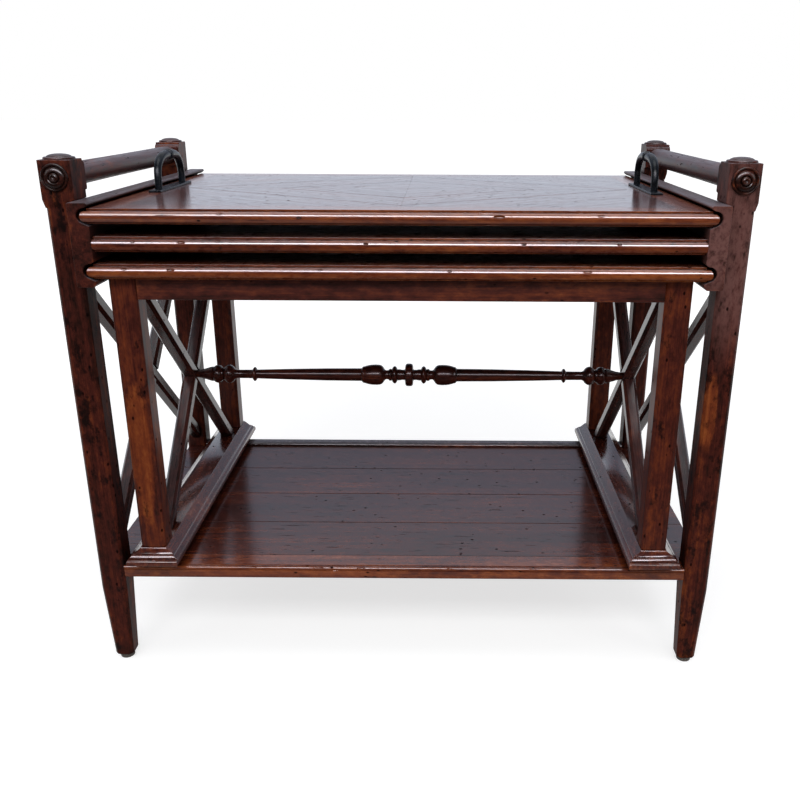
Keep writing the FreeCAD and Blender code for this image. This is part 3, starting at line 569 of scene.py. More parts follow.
def draw_outline(name, points):
    """A new piece: one point, drawn out step by step along an outline in millimetres."""
    bpy.ops.object.select_all(action="DESELECT")
    bpy.ops.mesh.primitive_plane_add(size=MM, location=(0.0, 0.0, 0.0))
    piece = bpy.context.active_object
    piece.name = name
    piece.data.name = name
    bpy.ops.object.mode_set(mode="EDIT")
    bpy.ops.mesh.select_all(action="SELECT")
    bpy.ops.mesh.merge(type="CENTER")
    bpy.ops.transform.translate(value=Vector(points[0]) * MM)
    for here, there in zip(points, points[1:]):
        step = (Vector(there) - Vector(here)) * MM
        bpy.ops.mesh.extrude_vertices_move(TRANSFORM_OT_translate={"value": step})
    return piece


def spin_outline(middle, axis):
    """Turn the drawn outline about an axis through a point and close the surface; edit mode stays on."""
    bpy.ops.mesh.select_all(action="SELECT")
    bpy.ops.mesh.spin(steps=TURNING_STEPS, angle=2.0 * math.pi, center=Vector(middle) * MM, axis=axis,
                      use_auto_merge=True)
    bpy.ops.mesh.select_all(action="SELECT")
    bpy.ops.mesh.remove_doubles(threshold=MERGE_DISTANCE)
    bpy.ops.mesh.normals_make_consistent(inside=False)


def copy_in_mesh(step):
    """Copy everything selected in the mesh to a place a step away, in millimetres."""
    bpy.ops.mesh.duplicate_move(TRANSFORM_OT_translate={"value": Vector(step) * MM})


def leave_smooth(angle=SMOOTH_ANGLE):
    """Leave edit mode, with edges sharper than an angle kept crisp."""
    bpy.ops.object.mode_set(mode="OBJECT")
    bpy.ops.object.shade_smooth_by_angle(angle=angle)


BEAD_FULLNESS = 0.75


def half_round(start, end, low, high, count=8):
    """A rounded bead of a turned outline: place along the axis and radius."""
    points = []
    for index in range(count + 1):
        share = index / count
        swell = math.sin(math.pi * share) ** BEAD_FULLNESS
        points.append((start + (end - start) * share, low + (high - low) * swell))
    return points


POST_X = 409.0
POST_Y = 220.0
HEAD_TOP = 704.0
HEAD_FACE = 239.5
ROSETTE_Z = 684.0
STRETCHER_Z = 364.05

# Turned stretcher, from the middle to one end: place along the bar, radius
STRETCHER_HALF = (
    [(0.0, 17.9), (2.8, 17.8), (4.6, 17.1), (5.7, 15.7), (6.1, 13.6), (6.3, 9.4), (7.4, 8.2), (11.6, 8.0),
     (13.4, 8.5), (16.8, 8.9), (18.2, 8.5)]
    + half_round(18.2, 27.4, 8.6, 13.8)
    + [(28.0, 9.2), (30.2, 9.6), (31.6, 8.8), (32.8, 7.4), (36.2, 7.1), (38.0, 8.0), (39.6, 10.4),
       (41.4, 13.0), (43.8, 14.9), (47.0, 15.8), (52.0, 16.1), (58.0, 15.9), (63.0, 15.2), (67.0, 14.2),
       (70.0, 13.2), (71.0, 12.9), (71.8, 13.0), (73.0, 12.4), (73.8, 11.4), (74.6, 10.4), (76.0, 10.0),
       (130.0, 9.6), (190.0, 8.4), (239.4, 7.0)]
    + half_round(239.8, 246.2, 7.2, 11.2)
    + [(246.8, 6.8), (271.0, 6.6), (273.6, 7.6)]
    + half_round(274.4, 291.6, 8.2, 14.6)
    + [(292.2, 9.8), (293.4, 9.8)]
    + half_round(294.2, 308.0, 10.0, 14.2)
    + [(308.8, 11.4), (312.0, 11.0), (318.0, 9.2), (326.0, 6.8), (334.0, 5.6), (334.2, 4.4), (345.8, 4.4),
       (346.0, 0.0)])

# Rosette, from the rim to the middle: radius, height from the head
ROSETTE_OUTLINE = (
    (16.5, 0.0), (16.5, 1.5), (16.2, 2.6), (15.5, 3.4), (14.6, 3.5), (13.8, 2.8), (13.3, 1.5), (12.9, 1.2),
    (12.4, 1.9), (11.2, 3.1), (9.4, 3.9), (7.8, 4.1), (6.9, 3.5), (6.4, 2.2), (6.0, 1.8), (5.6, 2.4),
    (5.3, 3.8), (4.5, 4.9), (3.2, 5.5), (2.1, 5.3), (1.6, 4.6), (0.9, 4.3), (0.0, 4.3))

# Cap, from the rim to the middle: radius, height over the head
CAP_OUTLINE = (
    (18.5, 0.0), (18.5, 1.3), (18.1, 2.3), (17.2, 2.8), (15.6, 2.9), (15.0, 2.5), (14.6, 2.9), (13.9, 3.9),
    (11.8, 5.0), (8.8, 5.8), (4.8, 6.3), (0.0, 6.5))


# Hand rail with a tenon at each end: place along the rail, radius
HAND_RAIL_OUTLINE = (
    (-215.0, 0.0), (-215.0, 9.0), (-195.5, 9.0), (-195.5, 14.25), (-150.0, 14.25), (-60.0, 14.0),
    (60.0, 14.05), (150.0, 14.25), (195.5, 14.25), (195.5, 9.0), (215.0, 9.0), (215.0, 0.0))


def turned_stretcher():
    """The bar between the two crossings: a disc in the middle, beads, vases, shafts and end bulbs."""
    far_half = [(-along, radius) for along, radius in reversed(STRETCHER_HALF[1:])]
    outline = [(along, 0.0, STRETCHER_Z + radius) for along, radius in far_half + list(STRETCHER_HALF)]
    piece = draw_outline("turned_stretcher_spun", outline)
    spin_outline((0.0, 0.0, STRETCHER_Z), (1.0, 0.0, 0.0))
    leave_smooth()
    return piece


def turned_rosettes():
    """One bull's-eye rosette, copied to the other front head and turned round to the rear heads."""
    outline = [(radius - POST_X, -HEAD_FACE - height, ROSETTE_Z) for radius, height in ROSETTE_OUTLINE]
    piece = draw_outline("post_rosettes_spun", outline)
    spin_outline((-POST_X, 0.0, ROSETTE_Z), (0.0, 1.0, 0.0))
    copy_in_mesh((2.0 * POST_X, 0.0, 0.0))
    bpy.ops.mesh.select_all(action="SELECT")
    bpy.ops.mesh.duplicate()
    bpy.ops.transform.rotate(value=math.pi, orient_axis="Z", center_override=(0.0, 0.0, 0.0))
    leave_smooth()
    return piece


def turned_caps():
    """One low cap, copied to the four heads."""
    outline = [(radius - POST_X, -POST_Y, HEAD_TOP + height) for radius, height in CAP_OUTLINE]
    piece = draw_outline("post_caps_spun", outline)
    spin_outline((-POST_X, -POST_Y, 0.0), (0.0, 0.0, 1.0))
    copy_in_mesh((2.0 * POST_X, 0.0, 0.0))
    bpy.ops.mesh.select_all(action="SELECT")
    copy_in_mesh((0.0, 2.0 * POST_Y, 0.0))
    leave_smooth()
    return piece


def round_hand_rail(name, rail_x):
    """A round bar between two heads, worn a little thinner in the middle, with a tenon at each end."""
    piece = draw_outline(name, [(rail_x, along, ROSETTE_Z + radius) for along, radius in HAND_RAIL_OUTLINE])
    spin_outline((rail_x, 0.0, ROSETTE_Z), (0.0, 1.0, 0.0))
    leave_smooth()
    return piece


# Moulded boards and sleds: a plane raised through the rows of its edge moulding

BOARD_HALF_X = 377.5
BOARD_HALF_Y = 261.0
MIDDLE_HALF_X = 367.5
BOARD_RADIUS = 7.875
NOSE_MIDDLE = 8.64
NOSE_ANGLE = math.radians(53.13)
NOSE_STEPS = 12
TRAY_BOTTOM = 632.0
MIDDLE_BOTTOM = 599.0
INNER_TOP_BOTTOM = 566.0
BORDER_WIDTH = 41.0

# The steps under and over the half-round nose: distance in from the rim, height
NOSE_FOOT = [(5.6, 0.0), (5.6, 2.3), (3.15, 2.34)]
NOSE_RISER = [(3.15, 14.94), (6.75, 14.98), (6.75, 18.0)]


def nose_rows():
    """The edge of a board from the underside up, as distance in from the rim and height."""
    rows = list(NOSE_FOOT)
    for index in range(1, NOSE_STEPS):
        turn = NOSE_ANGLE * (2.0 * index / NOSE_STEPS - 1.0)
        rows.append((BOARD_RADIUS * (1.0 - math.cos(turn)), NOSE_MIDDLE + BOARD_RADIUS * math.sin(turn)))
    return rows + NOSE_RISER


def raise_rings(name, middle_x, rings):
    """A plane raised ring by ring to the given half sizes and heights; edit mode stays on."""
    half_x, half_y, height = rings[0]
    bpy.ops.object.select_all(action="DESELECT")
    bpy.ops.mesh.primitive_plane_add(size=2.0 * MM, location=(0.0, 0.0, 0.0))
    piece = bpy.context.active_object
    piece.name = name
    piece.data.name = name
    bpy.ops.object.mode_set(mode="EDIT")
    bpy.ops.mesh.select_all(action="SELECT")
    bpy.ops.transform.resize(value=(half_x, half_y, 1.0), center_override=(0.0, 0.0, 0.0))
    bpy.ops.transform.translate(value=(middle_x * MM, 0.0, height * MM))
    for new_x, new_y, new_height in rings[1:]:
        rise = (new_height - height) * MM
        bpy.ops.mesh.extrude_region_move(TRANSFORM_OT_translate={"value": (0.0, 0.0, rise)})
        bpy.ops.transform.resize(value=(new_x / half_x, new_y / half_y, 1.0),
                                 center_override=(middle_x * MM, 0.0, new_height * MM))
        half_x, half_y, height = new_x, new_y, new_height
    bpy.ops.mesh.select_all(action="SELECT")
    bpy.ops.mesh.normals_make_consistent(inside=False)
    return piece


def cut_away(place, facing):
    """Saw the whole piece at a plane and drop the side that the plane faces."""
    bpy.ops.mesh.select_all(action="SELECT")
    bpy.ops.mesh.bisect(plane_co=Vector(place) * MM, plane_no=facing, use_fill=True, clear_outer=True)


def moulded_board(name, half_x, bottom, cuts=()):
    """A board nosed all round, sawn at the given planes."""
    rings = [(half_x - inset, BOARD_HALF_Y - inset, bottom + height) for inset, height in nose_rows()]
    piece = raise_rings(name, 0.0, rings)
    for place, facing in cuts:
        cut_away(place, facing)
    bpy.ops.object.mode_set(mode="OBJECT")
    ease_edges(piece, BOARD_EASING)
    return piece


def middle_board():
    """The fixed board, sawn off at both ends where it meets the rails."""
    return moulded_board("middle_board_raised", BOARD_HALF_X, MIDDLE_BOTTOM, [
        ((MIDDLE_HALF_X, 0.0, 0.0), (1.0, 0.0, 0.0)), ((-MIDDLE_HALF_X, 0.0, 0.0), (-1.0, 0.0, 0.0))])


def tray_border(side):
    """One mitred side of the tray's border, sawn out of the moulded board."""
    inner_x = BOARD_HALF_X - BORDER_WIDTH
    inner_y = BOARD_HALF_Y - BORDER_WIDTH
    if side in ("front", "rear"):
        sign = -1.0 if side == "front" else 1.0
        cuts = [((0.0, sign * inner_y, 0.0), (0.0, -sign, 0.0)),
                ((-inner_x, sign * inner_y, 0.0), (-1.0, -sign, 0.0)),
                ((inner_x, sign * inner_y, 0.0), (1.0, -sign, 0.0))]
    else:
        sign = -1.0 if side == "left" else 1.0
        cuts = [((sign * inner_x, 0.0, 0.0), (-sign, 0.0, 0.0)),
                ((sign * inner_x, -inner_y, 0.0), (-sign, -1.0, 0.0)),
                ((sign * inner_x, inner_y, 0.0), (-sign, 1.0, 0.0))]
    return moulded_board("tray_border_" + side + "_raised", BOARD_HALF_X, TRAY_BOTTOM, cuts)


SLED_MIDDLE_X = 344.0
SLED_HALF_Y = 257.0
SLED_BOTTOM = 168.1
PLINTH_BOTTOM = 157.4
PLINTH_HALF_X = 25.0
PLINTH_FRONT = -236.0
PLINTH_REAR = 201.0
PLINTH_OVERLAP = 0.5
SLED_STEPS = 9

# The ends of a sled from the underside up: distance in from the rim, height
SLED_FOOT = [(1.1, 0.0), (0.15, 1.4)]
SLED_QUIRK = [(5.9, 8.5)]
SLED_FILLET = [(11.5, 13.8), (11.5, 20.7), (12.3, 22.4), (12.5, 23.0)]
# The two noses: distance in, height, depth, rise
SLED_LOWER_NOSE = (0.1, 2.8, 4.7, 5.7)
SLED_UPPER_NOSE = (5.9, 9.4, 4.6, 4.4)

# Half width of a sled by height: a low upright face, a rounded turn, one plain slope
SLED_SIDE = ((0.0, 34.2), (0.9, 35.0), (4.6, 35.0), (6.2, 34.75), (7.8, 34.2), (9.2, 33.3), (10.1, 32.2),
             (22.3, 18.0), (23.0, 17.5))


def sled_half_width(height):
    """Half the width of a sled at a height, read off its side."""
    for (low, first), (high, second) in zip(SLED_SIDE, SLED_SIDE[1:]):
        if height <= high:
            return first + (second - first) * (height - low) / (high - low)
    return SLED_SIDE[-1][1]


def quarter_round(inset, height, depth, rise):
    """A rounded nose from an upright face to a ledge, as distance in from the rim and height."""
    rows = []
    for index in range(SLED_STEPS + 1):
        turn = QUARTER_TURN * index / SLED_STEPS
        rows.append((inset + depth * (1.0 - math.cos(turn)), height + rise * math.sin(turn)))
    return rows


def sled(name, middle_x):
    """A base under two legs: rounded noses and a fillet at the ends, plain slopes at the sides, a plinth."""
    rows = SLED_FOOT + quarter_round(*SLED_LOWER_NOSE) + SLED_QUIRK
    rows += quarter_round(*SLED_UPPER_NOSE) + SLED_FILLET
    rings = [(sled_half_width(height), SLED_HALF_Y - inset, SLED_BOTTOM + height) for inset, height in rows]
    piece = raise_rings(name, middle_x, rings)
    top = SLED_BOTTOM + PLINTH_OVERLAP
    bpy.ops.mesh.select_all(action="DESELECT")
    bpy.ops.mesh.primitive_cube_add(
        size=1.0,
        location=Vector((middle_x, (PLINTH_FRONT + PLINTH_REAR) / 2.0, (PLINTH_BOTTOM + top) / 2.0)) * MM,
        scale=Vector((2.0 * PLINTH_HALF_X, PLINTH_REAR - PLINTH_FRONT, top - PLINTH_BOTTOM)) * MM)
    bpy.ops.object.mode_set(mode="OBJECT")
    ease_edges(piece, SLED_EASING)
    return piece


SHELF_RAIL_HALF = 391.5
BEAD_MIDDLE = (-233.0, 154.0)
BEAD_RADIUS = 3.0
BEAD_DEGREES = range(35, 226, 10)

# The rail's section behind and under the bead: depth, height
SHELF_RAIL_BACK = [(-202.5, 139.0), (-202.5, 157.0), (-229.0, 157.0), (-229.8, 156.7), (-230.4, 155.6)]
SHELF_RAIL_FACE = [
    (-235.0, 151.4), (-235.2, 150.6), (-235.3, 141.0), (-234.8, 139.6), (-233.8, 139.0), (-202.5, 139.0)]


def shelf_front_rail():
    """The shelf's front rail: a bead along its upper edge with a quirk behind it, over a plain face."""
    depth, height = BEAD_MIDDLE
    bead = []
    for degrees in BEAD_DEGREES:
        turn = math.radians(degrees)
        bead.append((depth + BEAD_RADIUS * math.cos(turn), height + BEAD_RADIUS * math.sin(turn)))
    outline = SHELF_RAIL_BACK + bead + SHELF_RAIL_FACE
    piece = draw_outline("shelf_front_rail_drawn", [(-SHELF_RAIL_HALF, along, up) for along, up in outline])
    bpy.ops.mesh.select_all(action="SELECT")
    bpy.ops.mesh.remove_doubles(threshold=MERGE_DISTANCE)
    bpy.ops.mesh.edge_face_add()
    bpy.ops.mesh.extrude_region_move(TRANSFORM_OT_translate={"value": (2.0 * SHELF_RAIL_HALF * MM, 0.0, 0.0)})
    bpy.ops.mesh.select_all(action="SELECT")
    bpy.ops.mesh.normals_make_consistent(inside=False)
    leave_smooth(EDGE_ANGLE)
    return piece


# Iron handles, drawn out of a disc along the arch

HANDLE_X = 346.5
HANDLE_HALF_SPAN = 56.0
HANDLE_RISE = 45.0
HANDLE_ARCH_POWER = 0.60
HANDLE_STEPS = 28
HANDLE_SIDES = 16
PLATE_BOTTOM = 650.0
PLATE_TOP = 652.0
PIN_BOTTOM = 642.0
PLATE_HEIGHT = 3.4
PLATE_EDGE = 0.7
PLATE_DRAWN_IN = (0.90, 0.985)
PLATE_HALF_WIDTH = 8.5
PLATE_HALF_LENGTH = 75.0
HANDLE_FOOT_RADIUS = 5.0
HANDLE_TOP_RADIUS = 6.2

# Collar on top of the arch: place along the arch, radius
COLLAR_OUTLINE = (
    (-3.5, 0.0), (-3.5, 6.6), (-3.1, 7.2), (-2.3, 7.4), (-1.7, 6.9), (1.7, 6.9), (2.3, 7.4), (3.1, 7.2),
    (3.5, 6.6), (3.5, 0.0))


def arch_point(index):
    """A place on the centre line of the arch, in millimetres."""
    turn = math.pi * index / HANDLE_STEPS
    across = -math.copysign(abs(math.cos(turn)) ** HANDLE_ARCH_POWER, math.cos(turn))
    up = math.sin(turn) ** HANDLE_ARCH_POWER if 0 < index < HANDLE_STEPS else 0.0
    return Vector((0.0, across * HANDLE_HALF_SPAN, PLATE_TOP + up * HANDLE_RISE))


def lean_at(index):
    """How far the arch leans from upright towards the rear at a step."""
    if index == 0:
        return 0.0
    if index == HANDLE_STEPS:
        return math.pi
    along = arch_point(index + 1) - arch_point(index - 1)
    return math.atan2(along.y, along.z)


def iron_handle(name, handle_x):
    """A disc drawn out step by step: up the pin, over the arch and down, with a collar at the top."""
    place = Vector((handle_x, 0.0, 0.0))
    foot = place + arch_point(0)
    bpy.ops.object.select_all(action="DESELECT")
    bpy.ops.mesh.primitive_circle_add(vertices=HANDLE_SIDES, radius=HANDLE_FOOT_RADIUS * MM, fill_type="NGON",
                                      location=(foot.x * MM, foot.y * MM, PIN_BOTTOM * MM))
    piece = bpy.context.active_object
    piece.name = name
    bpy.ops.object.transform_apply(location=True, rotation=True, scale=True)
    bpy.ops.object.mode_set(mode="EDIT")
    bpy.ops.mesh.select_all(action="SELECT")
    bpy.ops.mesh.extrude_region_move(
        TRANSFORM_OT_translate={"value": (0.0, 0.0, (PLATE_TOP - PIN_BOTTOM) * MM)})
    radius = HANDLE_FOOT_RADIUS
    for index in range(1, HANDLE_STEPS + 1):
        here = (place + arch_point(index)) * MM
        step = (arch_point(index) - arch_point(index - 1)) * MM
        bpy.ops.mesh.extrude_region_move(TRANSFORM_OT_translate={"value": step})
        turn = lean_at(index) - lean_at(index - 1)
        bpy.ops.transform.rotate(value=turn, orient_axis="X", center_override=here)
        swell = math.sin(math.pi * index / HANDLE_STEPS) ** 2
        new_radius = HANDLE_FOOT_RADIUS + (HANDLE_TOP_RADIUS - HANDLE_FOOT_RADIUS) * swell
        grow = new_radius / radius
        bpy.ops.transform.resize(value=(grow, grow, grow), center_override=here)
        radius = new_radius
    bpy.ops.mesh.extrude_region_move(
        TRANSFORM_OT_translate={"value": (0.0, 0.0, (PIN_BOTTOM - PLATE_TOP) * MM)})
    bpy.ops.mesh.select_all(action="SELECT")
    bpy.ops.mesh.normals_make_consistent(inside=False)
    bpy.ops.object.mode_set(mode="OBJECT")
    top = PLATE_TOP + HANDLE_RISE
    collar = draw_outline(name + "_collar", [(handle_x, along, top + ring) for along, ring in COLLAR_OUTLINE])
    spin_outline((handle_x, 0.0, top), (0.0, 1.0, 0.0))
    bpy.ops.object.mode_set(mode="OBJECT")
    only(piece)
    collar.select_set(True)
    bpy.ops.object.join()
    leave_smooth()
    return piece


def handle_plate(name, plate_x):
    """The iron plate under a handle: a flat bar with its upper edges drawn in."""
    shoulder = PLATE_BOTTOM + PLATE_HEIGHT - PLATE_EDGE
    width_share, length_share = PLATE_DRAWN_IN
    piece = raise_rings(name, plate_x, [
        (PLATE_HALF_WIDTH, PLATE_HALF_LENGTH, PLATE_BOTTOM), (PLATE_HALF_WIDTH, PLATE_HALF_LENGTH, shoulder),
        (PLATE_HALF_WIDTH * width_share, PLATE_HALF_LENGTH * length_share, PLATE_BOTTOM + PLATE_HEIGHT)])
    bpy.ops.object.mode_set(mode="OBJECT")
    ease_edges(piece, PLATE_EASING)
    return piece


# Dents and chips along the noses, as flattened balls that bite into the edge: place and half sizes
DENTS = {
    "tray_border_front": [
        ((102.0, -260.1, 647.5), (12.0, 3.2, 3.4)), ((118.0, -260.4, 643.0), (7.0, 2.6, 2.6)),
        ((-212.0, -260.2, 645.5), (4.5, 1.9, 2.2)), ((-118.0, -260.3, 641.0), (3.5, 2.0, 1.6)),
        ((238.0, -260.4, 645.0), (5.0, 1.9, 2.0))],
    "middle_board": [
        ((-318.0, -260.2, 612.0), (3.6, 2.0, 1.8)), ((-260.1, -260.4, 611.5), (5.0, 2.2, 2.0)),
        ((-217.0, -260.0, 612.6), (4.0, 1.8, 1.8)), ((-40.0, -260.2, 611.0), (3.0, 1.8, 1.6)),
        ((148.0, -260.2, 612.0), (4.0, 1.9, 1.8)), ((262.0, -260.2, 611.4), (3.0, 1.8, 1.8))],
    "inner_top": [
        ((-332.0, -260.2, 579.0), (3.6, 2.0, 1.8)), ((-276.0, -260.4, 578.4), (5.2, 2.3, 2.0)),
        ((-96.0, -260.2, 579.4), (3.4, 1.8, 1.6)), ((226.0, -260.6, 578.6), (6.0, 2.4, 2.2)),
        ((60.0, -260.2, 578.6), (3.0, 1.8, 1.7))],
    "sled_left": [((-340.0, -255.4, 176.6), (4.0, 2.2, 1.8))],
    "sled_right": [((352.0, -255.6, 177.0), (6.5, 2.4, 1.9))],
    "shelf_front_rail": [
        ((-120.0, -236.0, 156.0), (8.0, 2.2, 2.0)), ((-96.0, -236.2, 152.5), (5.0, 2.0, 2.2)),
        ((-60.0, -236.0, 155.8), (6.0, 2.2, 1.8)), ((180.0, -236.0, 156.2), (5.0, 2.0, 1.6)),
        ((-210.0, -236.0, 155.8), (4.5, 2.0, 1.6)), ((64.0, -236.0, 156.0), (4.0, 2.0, 1.6))],
}


def dented(piece, dents):
    """Bite the dents out of a nose, with balls joined into one cutter."""
    bpy.ops.object.select_all(action="DESELECT")
    balls = []
    for place, reach in dents:
        bpy.ops.mesh.primitive_ico_sphere_add(subdivisions=3, radius=1.0, location=Vector(place) * MM,
                                              scale=Vector(reach) * MM)
        balls.append(bpy.context.active_object)
    only(balls[0])
    for ball in balls:
        ball.select_set(True)
    if len(balls) > 1:
        bpy.ops.object.join()
    cutter = bpy.context.active_object
    only(piece)
    bite = piece.modifiers.new("bite", "BOOLEAN")
    bite.operation = "DIFFERENCE"
    bite.solver = "EXACT"
    bite.object = cutter
    bpy.ops.object.modifier_apply(modifier=bite.name)
    only(cutter)
    bpy.ops.object.delete()
    only(piece)
    bpy.ops.object.shade_smooth_by_angle(angle=RIM_ANGLE)


MODELLED = {
    "turned_stretcher": turned_stretcher,
    "post_rosettes": turned_rosettes,
    "post_caps": turned_caps,
    "handle_left": lambda: iron_handle("handle_left_drawn", -HANDLE_X),
    "handle_right": lambda: iron_handle("handle_right_drawn", HANDLE_X),
    "handle_plate_left": lambda: handle_plate("handle_plate_left_raised", -HANDLE_X),
    "handle_plate_right": lambda: handle_plate("handle_plate_right_raised", HANDLE_X),
    "hand_rail_left": lambda: round_hand_rail("hand_rail_left_spun", -POST_X),
    "hand_rail_right": lambda: round_hand_rail("hand_rail_right_spun", POST_X),
    "inner_top": lambda: moulded_board("inner_top_raised", BOARD_HALF_X, INNER_TOP_BOTTOM),
    "middle_board": middle_board,
    "tray_border_front": lambda: tray_border("front"),
    "tray_border_rear": lambda: tray_border("rear"),
    "tray_border_left": lambda: tray_border("left"),
    "tray_border_right": lambda: tray_border("right"),
    "sled_left": lambda: sled("sled_left_raised", -SLED_MIDDLE_X),
    "sled_right": lambda: sled("sled_right_raised", SLED_MIDDLE_X),
    "shelf_front_rail": shelf_front_rail,
}


def piece_for(node):
    """The piece that stands for a node: modelled anew, or with the solid's form and eased edges."""
    if node in MODELLED:
        piece = MODELLED[node]()
    else:
        piece = eased_copy(node, next(width for kind, width in EASED_EDGES.items() if node.startswith(kind)))
    if node in DENTS:
        dented(piece, DENTS[node])
    return piece


for index, node in enumerate(sorted(frame["nodes"])):
    piece = piece_for(node)
    wear(piece, finish_for(node, index))
    put_on(piece, node)

# Stage: pale floor, white surroundings behind and above, a dimmer room on the near side

FLOOR_SIZE = 60.0
FLOOR_PALE = (0.45, 0.45, 0.45, 1.0)
FLOOR_DULL = (0.22, 0.22, 0.22, 1.0)
FLOOR_DARK = (0.02, 0.02, 0.022, 1.0)
FLOOR_GLOW_NEAR = 0.70
FLOOR_GLOW_FAR = 1.0
FLOOR_GLOW_REACH = (0.5, 2.4)
FLOOR_NEAR_END = (-1.0, -0.55)
WHITE = (1.0, 1.0, 1.0, 1.0)
NEAR_ROOM = (0.05, 0.05, 0.058, 1.0)
WORLD_LIGHT = 0.5
# The light surroundings begin behind the table and high over it, by the sine of the angle
LIGHT_BEHIND = (-0.25, 0.35)
LIGHT_ABOVE = (0.72, 0.98)

# The light surroundings by height, as the sine of the angle over the horizon
SKY_STOPS = [
    (0.0, (0.80, 0.87, 1.0, 1.0)), (0.14, (0.80, 0.87, 1.0, 1.0)), (0.27, (0.34, 0.37, 0.48, 1.0)),
    (0.38, (0.20, 0.22, 0.29, 1.0)), (0.45, (0.62, 0.66, 0.86, 1.0)), (0.54, (0.90, 0.92, 1.0, 1.0)),
    (1.0, (0.86, 0.92, 1.0, 1.0))]


def ray_kinds(tree):
    """Whether a ray comes straight from the eye, and whether it shows the surroundings in a shine."""
    path = add_node(tree, "ShaderNodeLightPath")
    shine = math_node(tree, "MAXIMUM", path.outputs["Is Glossy Ray"], path.outputs["Is Transmission Ray"])
    return path.outputs["Is Camera Ray"], shine


def pale_floor():
    """A floor white to the eye, dimmer in the table's shadow; a shine shows its near end dark."""
    bpy.ops.object.select_all(action="DESELECT")
    bpy.ops.mesh.primitive_plane_add(size=FLOOR_SIZE, location=(0.0, 0.0, 0.0))
    floor = bpy.context.active_object
    floor.name = "floor"
    material, tree = new_material("floor_white")
    eye, shine = ray_kinds(tree)
    place = add_node(tree, "ShaderNodeTexCoord").outputs["Object"]
    depth = add_node(tree, "ShaderNodeSeparateXYZ", {0: place}).outputs["Y"]
    away = add_node(tree, "ShaderNodeVectorMath", {0: place}, operation="LENGTH").outputs["Value"]
    behind = between(tree, depth, *FLOOR_NEAR_END)
    lit = math_node(tree, "MAXIMUM", eye, times(tree, shine, behind))
    paint = blend(tree, lit, blend(tree, behind, FLOOR_DARK, FLOOR_DULL), FLOOR_PALE)
    plain = add_node(tree, "ShaderNodeBsdfDiffuse", {"Color": paint})
    glow = math_node(tree, "MULTIPLY_ADD", between(tree, away, *FLOOR_GLOW_REACH),
                     FLOOR_GLOW_FAR - FLOOR_GLOW_NEAR, FLOOR_GLOW_NEAR)
    light = add_node(tree, "ShaderNodeEmission", {"Color": WHITE, "Strength": times(tree, glow, lit)})
    both = add_node(tree, "ShaderNodeAddShader", {0: plain.outputs[0], 1: light.outputs[0]})
    add_node(tree, "ShaderNodeOutputMaterial", {"Surface": both.outputs[0]})
    floor.data.materials.append(material)


def surroundings():
    """White to the eye; for light and shine, a soft sky behind and above and a dim room on the near side."""
    world = bpy.data.worlds.new("surroundings")
    bpy.context.scene.world = world
    world.use_nodes = True
    tree = world.node_tree
    tree.nodes.clear()
    way = add_node(tree, "ShaderNodeTexCoord").outputs["Generated"]
    split = add_node(tree, "ShaderNodeSeparateXYZ", {0: way})
    behind = between(tree, split.outputs["Y"], *LIGHT_BEHIND)
    above = between(tree, split.outputs["Z"], *LIGHT_ABOVE)
    bright = math_node(tree, "MAXIMUM", behind, above)
    sky = blend(tree, bright, NEAR_ROOM, colour_ramp(tree, split.outputs["Z"], SKY_STOPS))
    eye, shine = ray_kinds(tree)
    colour = blend(tree, eye, sky, WHITE)
    shown = math_node(tree, "MAXIMUM", eye, shine)
    strength = math_node(tree, "MULTIPLY_ADD", shown, 1.0 - WORLD_LIGHT, WORLD_LIGHT)
    background = add_node(tree, "ShaderNodeBackground", {"Color": colour, "Strength": strength})
    add_node(tree, "ShaderNodeOutputWorld", {"Surface": background.outputs[0]})


Lamp = namedtuple("Lamp", "place target size power")
LAMPS = {
    "overhead_lamp": Lamp((0.0, -0.3, 2.6), (0.0, -0.1, 0.0), (2.0, 1.2), 24.0),
    "front_window": Lamp((-0.1, -2.4, 2.45), (0.0, -0.2, 0.45), (3.0, 0.75), 56.0),
    "left_fill": Lamp((-2.3, -1.4, 1.5), (0.0, -0.1, 0.35), (1.2, 1.2), 10.0),
    "right_fill": Lamp((2.3, -1.6, 1.3), (0.0, -0.1, 0.35), (1.2, 1.2), 14.0),
    "floor_bounce": Lamp((0.0, -1.9, 0.10), (0.0, -0.2, 0.85), (3.2, 1.0), 15.0),
    "wax_glint": Lamp((-0.1, -2.5, 2.0), (0.0, -0.2, 0.45), (3.4, 0.6), 112.0),
}
GLINT_COLOUR = (0.95, 0.90, 1.0)


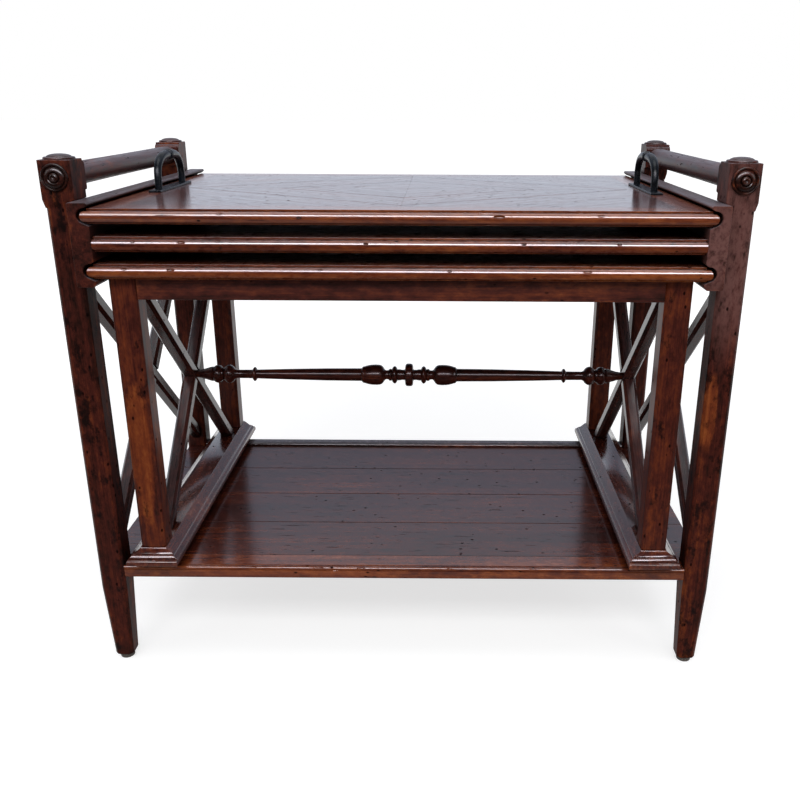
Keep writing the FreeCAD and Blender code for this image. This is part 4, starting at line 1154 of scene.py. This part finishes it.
def soft_lamp(name, place, target, size, power):
    """A rectangular lamp that looks at a point and isn't seen itself."""
    data = bpy.data.lights.new(name, "AREA")
    data.shape = "RECTANGLE"
    data.size = size[0]
    data.size_y = size[1]
    data.energy = power
    lamp = bpy.data.objects.new(name, data)
    bpy.context.scene.collection.objects.link(lamp)
    lamp.location = place
    lamp.rotation_euler = (Vector(target) - Vector(place)).to_track_quat("-Z", "Y").to_euler()
    lamp.visible_camera = False
    return lamp


# Camera, fitted to the photograph's 800 by 800 frame
FRAME_PIXELS = 800.0
FOCAL_PIXELS = 848.0
CENTRE_PIXELS = (439.2, 400.3)
CAMERA_PLACE = (0.0515, -1.273, 0.7728)
CAMERA_PITCH = 0.3405
CAMERA_YAW = -0.0032
CAMERA_ROLL = -0.0048
SENSOR = 36.0


def photograph_camera():
    """The camera that took the photograph, with the shift of its cropped frame."""
    data = bpy.data.cameras.new("camera")
    data.sensor_width = SENSOR
    data.lens = SENSOR * FOCAL_PIXELS / FRAME_PIXELS
    data.shift_x = 0.5 - CENTRE_PIXELS[0] / FRAME_PIXELS
    data.shift_y = CENTRE_PIXELS[1] / FRAME_PIXELS - 0.5
    data.clip_end = 100.0
    camera = bpy.data.objects.new("camera", data)
    bpy.context.scene.collection.objects.link(camera)
    level = math.cos(CAMERA_PITCH)
    ahead = Vector((math.sin(CAMERA_YAW) * level, math.cos(CAMERA_YAW) * level, -math.sin(CAMERA_PITCH)))
    right = Vector((math.cos(CAMERA_YAW), -math.sin(CAMERA_YAW), 0.0))
    down = ahead.cross(right)
    turned_right = math.cos(CAMERA_ROLL) * right + math.sin(CAMERA_ROLL) * down
    turned_down = math.cos(CAMERA_ROLL) * down - math.sin(CAMERA_ROLL) * right
    turn = Matrix((turned_right, -turned_down, -ahead)).transposed()
    camera.matrix_world = Matrix.Translation(CAMERA_PLACE) @ turn.to_4x4()
    bpy.context.scene.camera = camera


pale_floor()
surroundings()
lamps = {name: soft_lamp(name, *lamp) for name, lamp in LAMPS.items()}
lamps["floor_bounce"].visible_glossy = False
lamps["wax_glint"].visible_diffuse = False
lamps["wax_glint"].data.color = GLINT_COLOUR
photograph_camera()
bpy.context.scene.view_settings.view_transform = "Standard"
